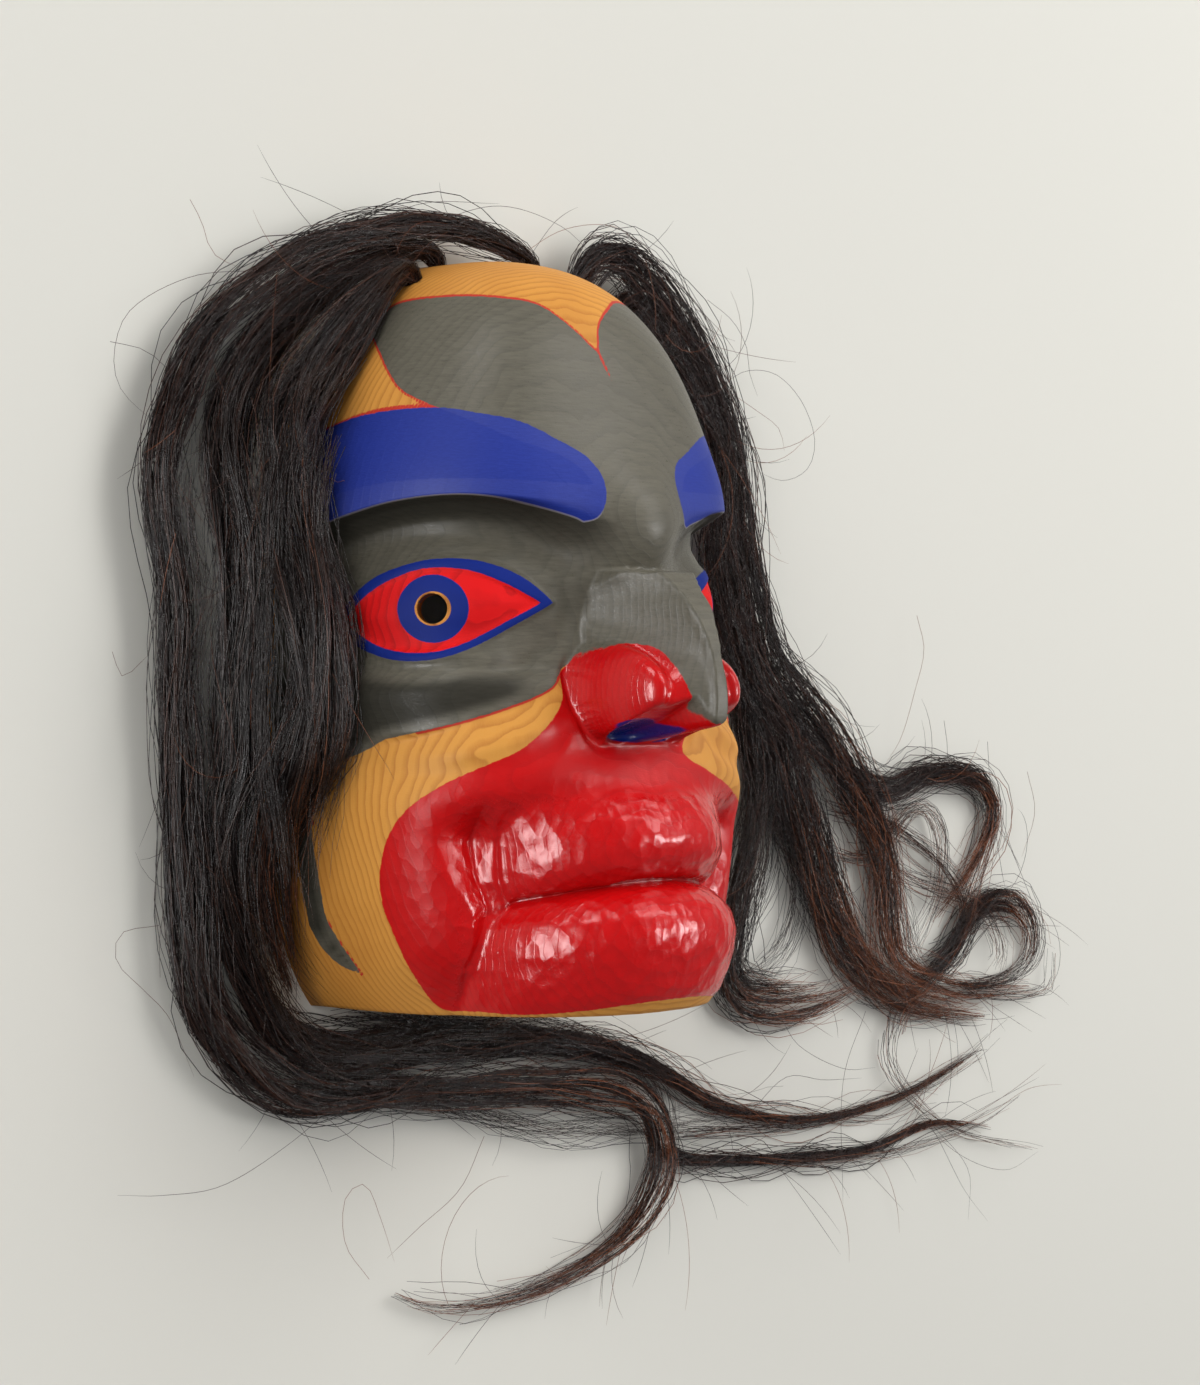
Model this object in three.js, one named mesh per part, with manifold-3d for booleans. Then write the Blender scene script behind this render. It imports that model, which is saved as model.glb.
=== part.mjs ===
// Carved wooden face mask with locks of horsehair pegged along its crown, lying on its back.
// All sizes are millimetres. In the mask's own frame x runs to the viewer's right, y from chin to crown
// and z out of the face, with the flat back rim at z = 0.

import * as THREE from "three";
import { mergeVertices } from "three/addons/utils/BufferGeometryUtils.js";
import Module from "manifold-3d";

// Driving sizes of the dome
const HEIGHT = 300; // flat chin to crown
const HALF_WIDTH = 105; // at the widest level
const MIDDLE = 150; // height of the widest level
const CHIN_REACH = 173; // how far below the middle the rounded sides would close
const BROW_DEPTH = 100; // back rim to the dome's front
const CROWN_FALL = 6; // how much shallower the dome is at the crown
const SIDE_WALL = 13; // wood at the rim
const FRONT_WALL = 16; // wood behind the plain front of the dome
const HOLLOW_FLOOR = 14; // wood under the hollow, at the chin
const RIM_FADE = 14; // carving fades out below this depth, towards the rim

// Driving sizes of the carving
const WRAP_RADIUS = 115; // the face is measured round the dome at this radius
const WRAP_BACK = 15; // the wrap's axis lies this far behind the rim
const EYE = { across: 86.6, up: 155.8, pupil: 11.6 };
const BROW = { edge: 199, peakAt: 75, proud: 5, rise: 26, socket: 9.5 };
const ORB = { across: 85, up: 156, halfWidth: 52, halfHeight: 28, proud: 9 };
const CHEEK = { across: 82, up: 118, halfWidth: 52, halfHeight: 26, proud: 3.5 };
const MOUTH = { up: 50.4, droop: 10.5, halfWidth: 66 };
const FOLD = { across: 69, facet: 18, lipEnd: 5, slope: 0.42, deep: 7.4, from: 20, to: 68 };
const NOSE = { ledge: 171, reach: 37, wingReach: 33.5 };
const VALLEY = { deep: 5, above: 21, below: 15 };
const WING = { across: 21.5, up: 124.5, halfWidth: 12, halfHeight: 19.5, base: 101, proud: 36, groove: 1.5 };
const UNDERSIDE = { up: 104, depth: 106, middleSlope: 5.6, wingSlope: 1.95, wingFrom: 9 };
const NOSTRIL = { across: 16, up: 109, behind: 105, halfWidth: 12.5, halfHeight: 5, deep: 7 };

// Profiles, as [height, value] down the middle of the face
const RIDGE_LINE = [
  [103, 139], [107, 143.5], [111, 145.7], [118, 147.2], [128, 146.7], [137.5, 144.7],
  [144, 143], [150, 140.4], [157, 136.7], [163, 131.5], [171, 124], [180, 113],
];
const RIDGE_HALF_WIDTH = [
  [111, 3.6], [128, 3], [138, 2.7], [144, 3.4], [150, 4.3], [157, 5.9], [163, 6.8], [171, 10],
];
const NOSE_SLOPE = [
  [100, 0.75], [118, 0.8], [128, 1], [138, 1.5], [148, 1.9], [158, 2.05], [165, 1.8], [172, 1.3],
];
const NOSE_SHOULDER = [
  [100, 13], [118, 14], [130, 17.5], [145, 25], [156, 26.5], [164, 24], [171, 18.5],
];
const MUZZLE_FRONT = [
  [0, 119], [6, 123.8], [14, 127.3], [24, 130], [31, 130.8], [36, 130.2], [41, 128], [45.3, 124],
  [48.4, 119], [50.4, 111.5], [52.4, 116.5], [56, 120.4], [61, 123.6], [67, 124.8], [74, 123],
  [81, 118.4], [90, 111.5], [100, 107.5], [108, 105],
];
const MUZZLE_HALF_WIDTH = [
  [0, 76], [6, 78], [14, 79.5], [26, 80], [36, 79.5], [43, 78], [50.4, 74], [56, 74.5], [64, 75],
  [72, 76.5], [80, 81.5], [90, 93], [100, 102], [108, 104],
];

// Lower edge of the cheek plane, as [distance round the face, height]
const CHEEK_EDGE = [
  [20, 146], [36, 132.5], [41.4, 126.5], [53, 120.8], [64.6, 117], [74.8, 113.7], [84, 110.8],
  [92, 109.2], [100, 108.8], [112, 108.5], [160, 108],
];

// Mesh sizes
const COLUMNS = 52;
const ROWS_BELOW = 25;
const ROWS_ABOVE = 23;
const BROW_ROW = 0.3; // row parameter kept for the brow's edge
const ROW_SHARE = 0.62; // the lower rows' share of the row parameter
const LOCK_SIDES = 8;
const LOCK_STEP = 21; // length of one step along a lock
const LOCK_GROOVE = 0.16; // depth of the grooves along a lock, as a share of its radius
const LOCK_REST = 0.3; // a lock lies this far above the plane of the rim

// Hollow behind the face
const HOLLOW = { up: 137, down: 136, upPower: 2.2, downPower: 4.5, archPower: 2.6, fan: 32, rings: 6 };
const HOLLOW_MUZZLE = { deeper: 15, halfWidth: 32, from: 8, to: 175 };

// Sockets drilled into the crown for the roots of the locks
const SOCKET = { across: 8.5, deep: 9 };
const ROOT = { radius: 3.5, sunk: 8, neck: 1 };

// Each lock leaves its socket, at x across the crown and a level above the rim, and follows a line of
// [x, y, z, radius]. Its branches leave that line further on.
const LOCKS = [
  {
    name: "hair_lock_left_outer",
    socket: { x: 36, level: 14 },
    line: [
      [32, 304.6, 15, 4], [8, 310.6, 16, 5], [-18, 313, 16, 5.8], [-50, 310, 16, 7], [-96, 295, 14, 8],
      [-141, 262, 12, 6.5], [-159, 228, 12, 6.2], [-165, 203, 12, 6.6], [-162, 180, 12, 7.2],
      [-157, 152, 12, 9], [-156, 112, 11, 10], [-151, 62, 10, 9], [-140, 4, 10, 9], [-98, -31, 10, 9],
      [-10, -39, 9.5, 8.6], [70, -46, 9, 8], [114, -60, 8.5, 7.6],
      [124, -88, 8, 7], [98, -116, 7, 6], [44, -130, 5.5, 4.6], [-14, -128, 4, 3.2], [-42, -118, 2.6, 1.8],
    ],
    branches: [
      [[118, -76, 8, 4.6], [142, -85, 6.5, 4.4], [180, -91, 5, 3.6], [230, -96, 4, 3], [285, -98, 3.4, 2.6],
        [340, -91, 3, 2.2], [396, -101, 2.4, 1.5]],
    ],
  },
  {
    name: "hair_lock_left_middle",
    socket: { x: -16, level: 8.5 },
    line: [
      [-20, 304.2, 8.5, 4], [-34, 303.6, 8.5, 4.6], [-52, 297, 9, 5.5], [-84, 280, 10, 8],
      [-116, 254, 12, 10], [-132, 228, 14.5, 11.2], [-136, 205, 17.5, 12], [-135.5, 187, 20, 12.3],
      [-134, 158, 23.5, 12.8], [-132, 132, 23, 12.5], [-131, 98, 21, 11.8], [-133, 78, 16, 10.5],
      [-131, 56, 12.5, 9.8], [-118, 14, 10, 8.6], [-88, -14, 9.5, 8], [0, -19.5, 9, 7.5], [70, -27, 8, 6.5],
      [126, -44, 6.5, 5], [170, -65, 5, 4], [234, -78, 4, 3], [304, -76, 3.2, 2.4], [384, -58, 2.4, 1.6],
    ],
    branches: [],
  },
  {
    name: "hair_lock_left_inner",
    socket: { x: -46, level: 24 },
    line: [
      [-50.5, 292.5, 25, 4], [-65, 285, 28, 5.2], [-86, 266, 30, 7.4], [-101, 245, 28.5, 9],
      [-113, 228, 29, 10.2], [-116, 205, 31.5, 10], [-117, 187, 36, 10.3], [-117, 158, 46, 12.5],
      [-118, 132, 47, 12.6], [-117.5, 100, 43, 11.8], [-115.5, 79, 29, 10.2], [-113.5, 58, 19, 7.9],
      [-107, 36, 14, 6.8], [-98, 15, 9, 5], [-93, 6, 6, 2.6],
    ],
    branches: [],
  },
  {
    name: "hair_lock_right_outer",
    socket: { x: 54, level: 14 },
    line: [
      [60, 299, 15, 4.4], [72, 311, 16, 5.6], [90, 313.5, 16, 6.8], [108, 306, 15, 7.6],
      [127.3, 292, 13, 8], [150.8, 268, 12, 8], [164.8, 246.5, 12, 8], [172.2, 224.3, 12, 8],
      [178.3, 188, 11, 8], [196.2, 144.8, 11, 8.4], [217.7, 121, 10.5, 8.6], [251, 94.8, 10, 8.6],
      [276, 70, 9, 8], [291, 40, 8.5, 7.4], [296, 12, 8.5, 7], [304, -6, 8, 6.6], [335, -19, 6.8, 5.6],
      [389, -27, 5, 3.8], [430, -31, 3, 2],
    ],
    branches: [
      [
        [251, 94.8, 9.5, 5.5], [272, 82, 9, 6], [298, 76, 8.5, 6], [322, 82, 8, 5.6],
        [346, 84, 7.5, 5.2], [372, 80, 7, 5], [386, 68, 6.5, 4.6], [384, 53, 6, 4.4], [372, 37, 5.5, 4],
        [352, 20, 4.5, 3], [336, 8, 3.2, 2.2],
      ],
      [
        [322, -14, 6.5, 4.6], [346, -6, 6.5, 4.8], [362, 10, 6.5, 4.8], [382, 19, 6, 4.8],
        [404, 17, 6, 4.6], [420, 5, 5.5, 4.2], [424, -9, 4.5, 3.4], [414, -21, 3, 2],
      ],
    ],
  },
  {
    name: "hair_lock_right_inner",
    socket: { x: 77, level: 14 },
    line: [
      [84, 268, 14, 4.4], [87, 283, 13.5, 5.2], [96, 293, 13, 5.8], [108, 286, 12.5, 6.4],
      [122, 273.5, 12, 6.8], [138.6, 257.9, 12, 7], [150.6, 239.6, 12, 7], [156.8, 221, 11.5, 7],
      [162, 184, 11, 7.8], [181, 135.5, 10.5, 8.8], [206, 107.6, 10, 8.6], [217, 83, 9.5, 8.6],
      [230, 52, 9, 8.4], [243, 27, 8.5, 7.8], [260, 4, 8, 7], [283, -14, 7, 5.8], [312, -27, 6, 5],
      [350, -36, 4.5, 3.6], [392, -43, 3, 2],
    ],
    branches: [
      [
        [181, 135.5, 10, 7], [188, 108, 9.5, 7.5], [194, 84, 9, 8], [188, 54, 8.5, 8], [181, 32, 8, 7.6],
        [175, 10, 8, 7.2], [174, -4, 7.5, 6.6], [185, -15.5, 7.5, 6.2], [212, -19.5, 7, 5.8],
        [245, -18.5, 7, 5.4], [270, -13, 7, 5],
      ],
    ],
  },
];

// Small maths
const clamp01 = (v) => Math.min(Math.max(v, 0), 1);
const mix = (a, b, t) => a + (b - a) * t;

function smooth(from, to, v) {
  const t = clamp01((v - from) / (to - from));
  return t * t * (3 - 2 * t);
}

// A rounded bump that falls from 1 to 0 as the squared distance goes from 0 to 1.
function bump(squared) {
  const t = clamp01(1 - squared);
  return t * t * (3 - 2 * t);
}

const bell = (v) => Math.exp(-v * v);

// The larger of two heights, with the corner between them rounded off.
function softMax(a, b, round) {
  const t = clamp01(0.5 + (0.5 * (a - b)) / round);
  return mix(b, a, t) + round * t * (1 - t);
}

// A smooth curve through the [key, value] pairs, level outside them.
function curve(pairs, key) {
  const last = pairs.length - 1;
  const k = Math.min(Math.max(key, pairs[0][0]), pairs[last][0]);
  let i = 0;
  while (i < last - 1 && k >= pairs[i + 1][0]) i += 1;
  const slope = (j) => {
    const a = pairs[Math.max(j - 1, 0)];
    const b = pairs[Math.min(j + 1, last)];
    return (b[1] - a[1]) / (b[0] - a[0]);
  };
  const span = pairs[i + 1][0] - pairs[i][0];
  const t = (k - pairs[i][0]) / span;
  const t2 = t * t;
  const t3 = t2 * t;
  return (
    pairs[i][1] * (2 * t3 - 3 * t2 + 1) +
    pairs[i + 1][1] * (3 * t2 - 2 * t3) +
    span * (slope(i) * (t3 - 2 * t2 + t) + slope(i + 1) * (t3 - t2))
  );
}

// Values from lo to hi, closer together where density is high.
function spread(count, lo, hi, density) {
  const fine = 2000;
  const sums = [0];
  for (let i = 0; i < fine; i += 1) {
    sums.push(sums[i] + density(mix(lo, hi, (i + 0.5) / fine)));
  }
  const values = [];
  let j = 0;
  for (let i = 0; i <= count; i += 1) {
    const want = (sums[fine] * i) / count;
    while (j < fine - 1 && sums[j + 1] < want) j += 1;
    values.push(mix(lo, hi, (j + clamp01((want - sums[j]) / (sums[j + 1] - sums[j]))) / fine));
  }
  return values;
}

// Outline and sections of the plain dome
const OUTLINE_POWER = 2.2;
const LOWER_POWER = 3.3;

function domeHalfWidth(y) {
  if (y > MIDDLE) {
    const up = clamp01((y - MIDDLE) / (HEIGHT - MIDDLE));
    return HALF_WIDTH * Math.max(1 - up ** OUTLINE_POWER, 0) ** (1 / OUTLINE_POWER);
  }
  const down = clamp01((MIDDLE - y) / CHIN_REACH);
  return HALF_WIDTH * (1 - down ** LOWER_POWER) ** (1 / LOWER_POWER);
}

// Depth of the section at one height, before the muzzle is added.
function domeDepth(y) {
  const up = clamp01((y - MIDDLE) / (HEIGHT - MIDDLE));
  const top = BROW_DEPTH * Math.max(1 - up ** 3, 0) ** (1 / 3);
  return top + 7 * smooth(150, 96, y) - 19 * smooth(98, 66, y) - 5 * smooth(40, 0, y);
}

// How boxy the section is: 2 is an ellipse.
function domePower(y) {
  return 2.4 + 0.6 * smooth(150, 96, y) + 2.8 * smooth(98, 66, y) - 2 * smooth(30, 0, y);
}

// A point of the plain dome. s runs across from rim to rim, t up from the chin to the crown.
function domePoint(s, t) {
  if (t > 0) {
    const p = s * Math.sqrt(1 - (t * t) / 2);
    const q = t * Math.sqrt(1 - (s * s) / 2);
    const turn = Math.atan2(q, p);
    const c = Math.cos(turn);
    const n = Math.sin(turn);
    const across = (Math.abs(c) / HALF_WIDTH) ** OUTLINE_POWER;
    const upward = (Math.abs(n) / (HEIGHT - MIDDLE)) ** OUTLINE_POWER;
    const reach = (across + upward) ** (-1 / OUTLINE_POWER);
    const r = Math.sin((Math.min(Math.hypot(p, q), 1) * Math.PI) / 2);
    const power = 2.4 + 1.6 * n * n;
    const y = MIDDLE + reach * r * n;
    const depth = BROW_DEPTH - CROWN_FALL * ((y - MIDDLE) / (HEIGHT - MIDDLE)) ** 2;
    return [reach * r * c, y, depth * Math.max(1 - r ** power, 0) ** (1 / power)];
  }
  const y = MIDDLE + (MIDDLE * t) / ROW_SHARE;
  const half = domeHalfWidth(y);
  const x = half * Math.sin((s * Math.PI) / 2);
  const power = domePower(y);
  const k = Math.min(Math.abs(x) / half, 1);
  return [x, y, domeDepth(y) * Math.max(1 - k ** power, 0) ** (1 / power)];
}

// Outward direction of the dome in the horizontal section through a point.
function sectionNormal(x, y, z) {
  const half = Math.max(domeHalfWidth(y), 1e-6);
  const depth = Math.max(domeDepth(y), 1e-6);
  const power = domePower(y) - 1;
  const nx = (Math.sign(x) * (Math.abs(x) / half + 1e-9) ** power) / half;
  const nz = (z / depth + 1e-9) ** power / depth;
  const length = Math.hypot(nx, nz) + 1e-12;
  return [nx / length, nz / length];
}

// Height of the brow's sharp lower edge, at a distance round the face.
function browEdge(a) {
  const outer = a > BROW.peakAt;
  const fall = outer ? 11 * ((a - BROW.peakAt) / 53) ** 2 : 7 * ((BROW.peakAt - a) / 48) ** 2;
  return BROW.edge - fall;
}

// How far the line of the mouth hangs below its middle, at a distance from the middle.
const mouthDroop = (a) => MOUTH.droop * (a / MOUTH.halfWidth) ** 2.2;

// The fold beside the mouth: a flat facet that slopes down to the ends of the lips, narrow at its foot.
function foldDepth(a, y) {
  const facet = Math.max(FOLD.facet * clamp01((y - FOLD.from) / (FOLD.to - FOLD.from)), 3);
  const deepest = FOLD.across + 5 * smooth(34, 14, y) - 4 * bell((y - 42) / 8);
  const away = a - deepest;
  const share = clamp01(1 - (away > 0 ? away / facet : -away / FOLD.lipEnd));
  const depth = Math.min(FOLD.deep, FOLD.slope * facet);
  return depth * mix(share, smooth(0, 1, share), 0.4) * smooth(2, 16, y) * smooth(86, 68, y);
}

// Brow, eye, cheek and mouth-corner carving, as a height along the section normal.
// a is the distance round the face from its middle line, y the height.
function carving(a, y) {
  const above = y - browEdge(a);
  const temple = smooth(150, 122, a);
  const soft = 24 * smooth(56, 22, a);
  const swell = above > 0 ? bell(above / BROW.rise) : 1;
  const edge = smooth(-3 - soft, 0.3 + 0.2 * soft, above);
  let h = temple * BROW.proud * swell * edge * mix(0.9, 1, smooth(20, 50, a));

  const inner = mix(smooth(22, 60, a), smooth(8, 34, a), smooth(165, 183, y));
  h -= temple * BROW.socket * smooth(0.5 + 0.2 * soft, -10 - 0.8 * soft, above) * smooth(118, 150, y) * inner;

  const orb = ((a - ORB.across) / ORB.halfWidth) ** 2 + ((y - ORB.up) / ORB.halfHeight) ** 2;
  h += ORB.proud * bump(0.9 * orb);

  const cheek = ((a - CHEEK.across) / CHEEK.halfWidth) ** 2 + ((y - CHEEK.up) / CHEEK.halfHeight) ** 2;
  h += CHEEK.proud * bump(cheek);

  const overCheek = y - curve(CHEEK_EDGE, a);
  const step = mix(0.7, 2.6, smooth(70, 108, a)) * smooth(30, 45, a) * smooth(140, 122, y);
  h += step * smooth(-1.5 - 4.5 * smooth(85, 110, a), 0.2, overCheek);
  h -= 2 * bump(((a - 50) / 30) ** 2 + ((overCheek + 11) / 17) ** 2);
  const valley = overCheek > 0 ? smooth(VALLEY.above, 0, overCheek) : smooth(-VALLEY.below, 0, overCheek);
  h -= VALLEY.deep * valley * smooth(38, 58, a) * smooth(130, 108, a);

  h -= foldDepth(a, y);
  h -= 0.8 * bell((a - 34) / 5) * smooth(176, 166, y) * smooth(118, 130, y);
  return h;
}

// Front of the muzzle, an arch that carries both lips.
function muzzleHeight(x, y, under) {
  if (y > 130) return -60;
  const a = Math.abs(x);
  const droop = mouthDroop(a) * smooth(6, 45, y) * smooth(112, 70, y);
  const level = y + droop;
  const k = Math.min(a / curve(MUZZLE_HALF_WIDTH, level), 1);
  const power = 2.35 + 0.1 * smooth(0, 30, y);
  const arch = curve(MUZZLE_FRONT, level) * Math.max(1 - k ** power, 0) ** (1 / power);
  const lipEnd = 7 * smooth(56, 78, a) * smooth(84, 72, y);
  return arch - lipEnd - 40 * smooth(90, 130, y) - 60 * smooth(12, 0, under);
}

// Distance from the middle of a wing of the nose, 1 on its outline.
const wingShare = (a, y) => Math.hypot((a - WING.across) / WING.halfWidth, (y - WING.up) / WING.halfHeight);

// The groove that parts a wing of the nose from the cheek.
function wingGroove(a, y) {
  const round = bell((wingShare(a, y) - 1.13) / 0.13);
  return WING.groove * round * smooth(14, WING.across, a) * smooth(144, 130, y) * smooth(98, 106, y);
}

// The nose: a flat ridge, scooped sides, rounded wings and a sloping underside.
function noseHeight(x, y) {
  const a = Math.abs(x);
  const ridge = curve(RIDGE_LINE, y);
  const out = Math.max(a - curve(RIDGE_HALF_WIDTH, y), 0);
  let z = ridge - 1.4 * smooth(0, 1.2, out) - curve(NOSE_SLOPE, y) * out + 0.012 * out * out;
  z -= 2 * bump(((a - 18) / 14) ** 2 + ((y - 146) / 18) ** 2);
  const past = Math.max(a - curve(NOSE_SHOULDER, y), 0);
  z -= mix(3.5 * past, 0.2 * past * past, smooth(142, 124, y));
  const wing = wingShare(a, y);
  if (wing < 1) z = softMax(z, WING.base + WING.proud * Math.sqrt(1 - wing * wing), 4);
  const steep = mix(UNDERSIDE.middleSlope, UNDERSIDE.wingSlope, smooth(0, UNDERSIDE.wingFrom, a));
  z = -softMax(-z, -(UNDERSIDE.depth + steep * (y - UNDERSIDE.up)), 3);
  const reach = mix(NOSE.wingReach, NOSE.reach, smooth(130, 147, y));
  const on = smooth(NOSE.ledge + 2.2, NOSE.ledge, y) * smooth(reach + 3, reach, a);
  return y > 86 && on > 0 ? mix(60, z, on) : -60;
}

// A shallow almond recess in the underside of each wing.
function nostrilDepth(x, y, z) {
  const across = (Math.abs(x) - NOSTRIL.across) / NOSTRIL.halfWidth;
  const up = (y - NOSTRIL.up) / NOSTRIL.halfHeight;
  return z > NOSTRIL.behind ? NOSTRIL.deep * bump(across * across + up * up) : 0;
}

// A point of the carved face.
function facePoint(s, t) {
  const [x0, y, z0] = domePoint(s, t);
  const round = WRAP_RADIUS * Math.atan2(x0, z0 + WRAP_BACK);
  const [nx, nz] = sectionNormal(x0, y, z0);
  const h = carving(Math.hypot(round, 3), y) * smooth(0, RIM_FADE, z0);
  const x = x0 + nx * h;
  let z = z0 + nz * h;
  z = softMax(z, muzzleHeight(x, y, z), mix(1.2, 12, smooth(70, 88, y)));
  z += 9 * bell((y - 186) / 24) * bell(x / 22) + 4 * bell((y - 205) / 22) * bell(x / 30);
  z = softMax(z, noseHeight(x, y), 2.5);
  z -= nostrilDepth(x, y, z) + wingGroove(Math.abs(x), y);
  const onRim = Math.abs(s) === 1 || t === 1;
  return [x, y, onRim ? 0 : z];
}

// Where the mesh needs more lines: the ridge, sides and wings of the nose and the lip ends across the
// face, and the mouth, the nose's underside and ledge and the brow's edge up it.
const columnDensity = (s) => {
  const a = Math.abs(s);
  return 1 + 2.4 * bell(a / 0.06) + 2.4 * bell((a - 0.19) / 0.07) + 0.8 * bell((a - 0.48) / 0.12);
};
const lowerRowDensity = (t) => {
  const y = MIDDLE * (1 + t / ROW_SHARE);
  const nose = 1.9 * bell((y - 110) / 8) + bell((y - 133) / 13);
  return 1 + nose + 4 * bell((y - MOUTH.up) / 5) + 0.5 * bell((y - 6) / 8);
};
const upperRowDensity = (t) => 1 + 2.2 * bell((t - 0.09) / 0.03) + 2.6 * bell((t - BROW_ROW) / 0.035);

// Row parameter at which a column crosses the brow's edge, carried on level between the brows.
function browRow(s) {
  let low = 0.02;
  let high = 0.5;
  for (let i = 0; i < 24; i += 1) {
    const t = (low + high) / 2;
    const [x, y, z] = domePoint(s, t);
    const a = WRAP_RADIUS * Math.atan2(Math.abs(x), z + WRAP_BACK);
    if (y < browEdge(Math.min(Math.max(a, 42), 135)) - 1.3) low = t;
    else high = t;
  }
  return low;
}

// Bends the rows of the mesh so that they follow the mouth and the brow's edge.
function guidedRow(s, t) {
  if (t <= 0) {
    const y = MIDDLE * (1 + t / ROW_SHARE);
    const a = Math.min(domeHalfWidth(y) * Math.sin((Math.abs(s) * Math.PI) / 2), 74);
    return t - (mouthDroop(a) * smooth(8, 46, y) * smooth(104, 64, y) * ROW_SHARE) / MIDDLE;
  }
  const near = smooth(0.01, BROW_ROW - 0.03, t) * smooth(BROW_ROW + 0.4, BROW_ROW + 0.06, t);
  return t + (browRow(s) - BROW_ROW) * near;
}

// Indexed geometry from a list of points and a list of triangles.
function geometryFrom(points, faces) {
  const geometry = new THREE.BufferGeometry();
  geometry.setAttribute("position", new THREE.Float32BufferAttribute(points.flat(), 3));
  geometry.setIndex(faces.flat());
  return geometry;
}

// How far a point lies from the middle of the line between two others.
const missBy = (point, a, b) => Math.hypot(...point.map((v, i) => v - (a[i] + b[i]) / 2));

// The carved block before it is hollowed: the face, a flat back and a flat chin. Each cell of the face
// is split along the diagonal that lies nearer to the carving.
function carvedBlock() {
  const columns = spread(COLUMNS, -1, 1, columnDensity);
  columns[0] = -1;
  columns[COLUMNS / 2] = 0;
  columns[COLUMNS] = 1;
  const below = spread(ROWS_BELOW, -ROW_SHARE, 0, lowerRowDensity);
  const above = spread(ROWS_ABOVE, 0, 1, upperRowDensity).slice(1);
  const rows = [...below, ...above];
  rows[0] = -ROW_SHARE;
  rows[rows.length - 1] = 1;

  const points = [];
  const faces = [];
  const wide = columns.length;
  for (const t of rows) {
    for (const s of columns) points.push(facePoint(s, guidedRow(s, t)));
  }
  for (let i = 0; i < rows.length - 1; i += 1) {
    for (let j = 0; j < wide - 1; j += 1) {
      const s = (columns[j] + columns[j + 1]) / 2;
      const middle = facePoint(s, guidedRow(s, (rows[i] + rows[i + 1]) / 2));
      const k = i * wide + j;
      const rising = missBy(middle, points[k], points[k + wide + 1]);
      const falling = missBy(middle, points[k + 1], points[k + wide]);
      if (rising <= falling) faces.push([k, k + 1, k + wide + 1], [k, k + wide + 1, k + wide]);
      else faces.push([k, k + 1, k + wide], [k + 1, k + wide + 1, k + wide]);
    }
  }

  const chin = points.push([0, 0, 0]) - 1;
  const back = points.push([0, MIDDLE, 0]) - 1;
  const top = (rows.length - 1) * wide;
  for (let j = 0; j < wide - 1; j += 1) {
    faces.push([chin, j + 1, j]);
    faces.push([back, top + j, top + j + 1]);
  }
  for (let i = 0; i < rows.length - 1; i += 1) {
    faces.push([back, i * wide, (i + 1) * wide]);
    faces.push([back, (i + 2) * wide - 1, (i + 1) * wide - 1]);
  }
  faces.push([back, chin, 0], [back, wide - 1, chin]);
  return geometryFrom(points, faces);
}

// Depth of the hollow, deeper behind the nose and muzzle.
function hollowHeight(x, y, r, rise) {
  const { deeper, halfWidth, from, to } = HOLLOW_MUZZLE;
  const power = HOLLOW.archPower + 1.4 * rise * rise;
  const arch = Math.max(1 - r ** power, 0) ** (1 / power);
  const muzzle = deeper * bell(x / halfWidth) * smooth(from, from + 30, y) * smooth(to, to - 40, y);
  return (domeDepth(y) - FRONT_WALL - 4 + muzzle) * arch;
}

// The hollow as a closed body that runs out past the back.
function hollowBody() {
  const { up, down, upPower, downPower, fan, rings } = HOLLOW;
  const half = HALF_WIDTH - SIDE_WALL;
  const points = [[0, MIDDLE, hollowHeight(0, MIDDLE, 0, 0)]];
  const faces = [];
  for (let i = 1; i <= rings + 1; i += 1) {
    const r = Math.sin((Math.min(i / rings, 1) * Math.PI) / 2);
    for (let j = 0; j < fan; j += 1) {
      const turn = (2 * Math.PI * j) / fan;
      const c = Math.cos(turn);
      const n = Math.sin(turn);
      const power = n > 0 ? upPower : downPower;
      const across = (Math.abs(c) / half) ** power;
      const along = (Math.abs(n) / (n > 0 ? up : down)) ** power;
      const reach = (across + along) ** (-1 / power);
      const x = reach * r * c;
      const y = MIDDLE + reach * r * n;
      points.push([x, y, i > rings ? -5 : hollowHeight(x, y, r, n)]);
    }
  }
  const at = (ring, j) => 1 + ring * fan + (j % fan);
  const outside = points.push([0, MIDDLE, -5]) - 1;
  for (let j = 0; j < fan; j += 1) {
    faces.push([0, at(0, j), at(0, j + 1)]);
    faces.push([outside, at(rings, j + 1), at(rings, j)]);
    for (let i = 0; i < rings; i += 1) {
      faces.push([at(i, j), at(i + 1, j), at(i + 1, j + 1)]);
      faces.push([at(i, j), at(i + 1, j + 1), at(i, j + 1)]);
    }
  }
  return geometryFrom(points, faces);
}

// A plain drill along a direction, centred on a point.
function drill(centre, direction, diameter, length, sides) {
  const geometry = new THREE.CylinderGeometry(diameter / 2, diameter / 2, length, sides);
  const turn = new THREE.Quaternion().setFromUnitVectors(
    new THREE.Vector3(0, 1, 0),
    direction.clone().normalize(),
  );
  geometry.applyQuaternion(turn);
  geometry.translate(centre.x, centre.y, centre.z);
  return geometry;
}

// The pupils are drilled square to the face.
function pupilDrill(side) {
  const turn = EYE.across / WRAP_RADIUS;
  const direction = new THREE.Vector3(side * Math.sin(turn), 0, Math.cos(turn));
  const reach = 117;
  const centre = direction.clone().multiplyScalar(reach);
  centre.y = EYE.up;
  centre.z -= WRAP_BACK;
  const along = new THREE.Vector3(side * 0.77, 0, 0.63);
  return drill(centre, along, EYE.pupil, 64, 24);
}

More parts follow.
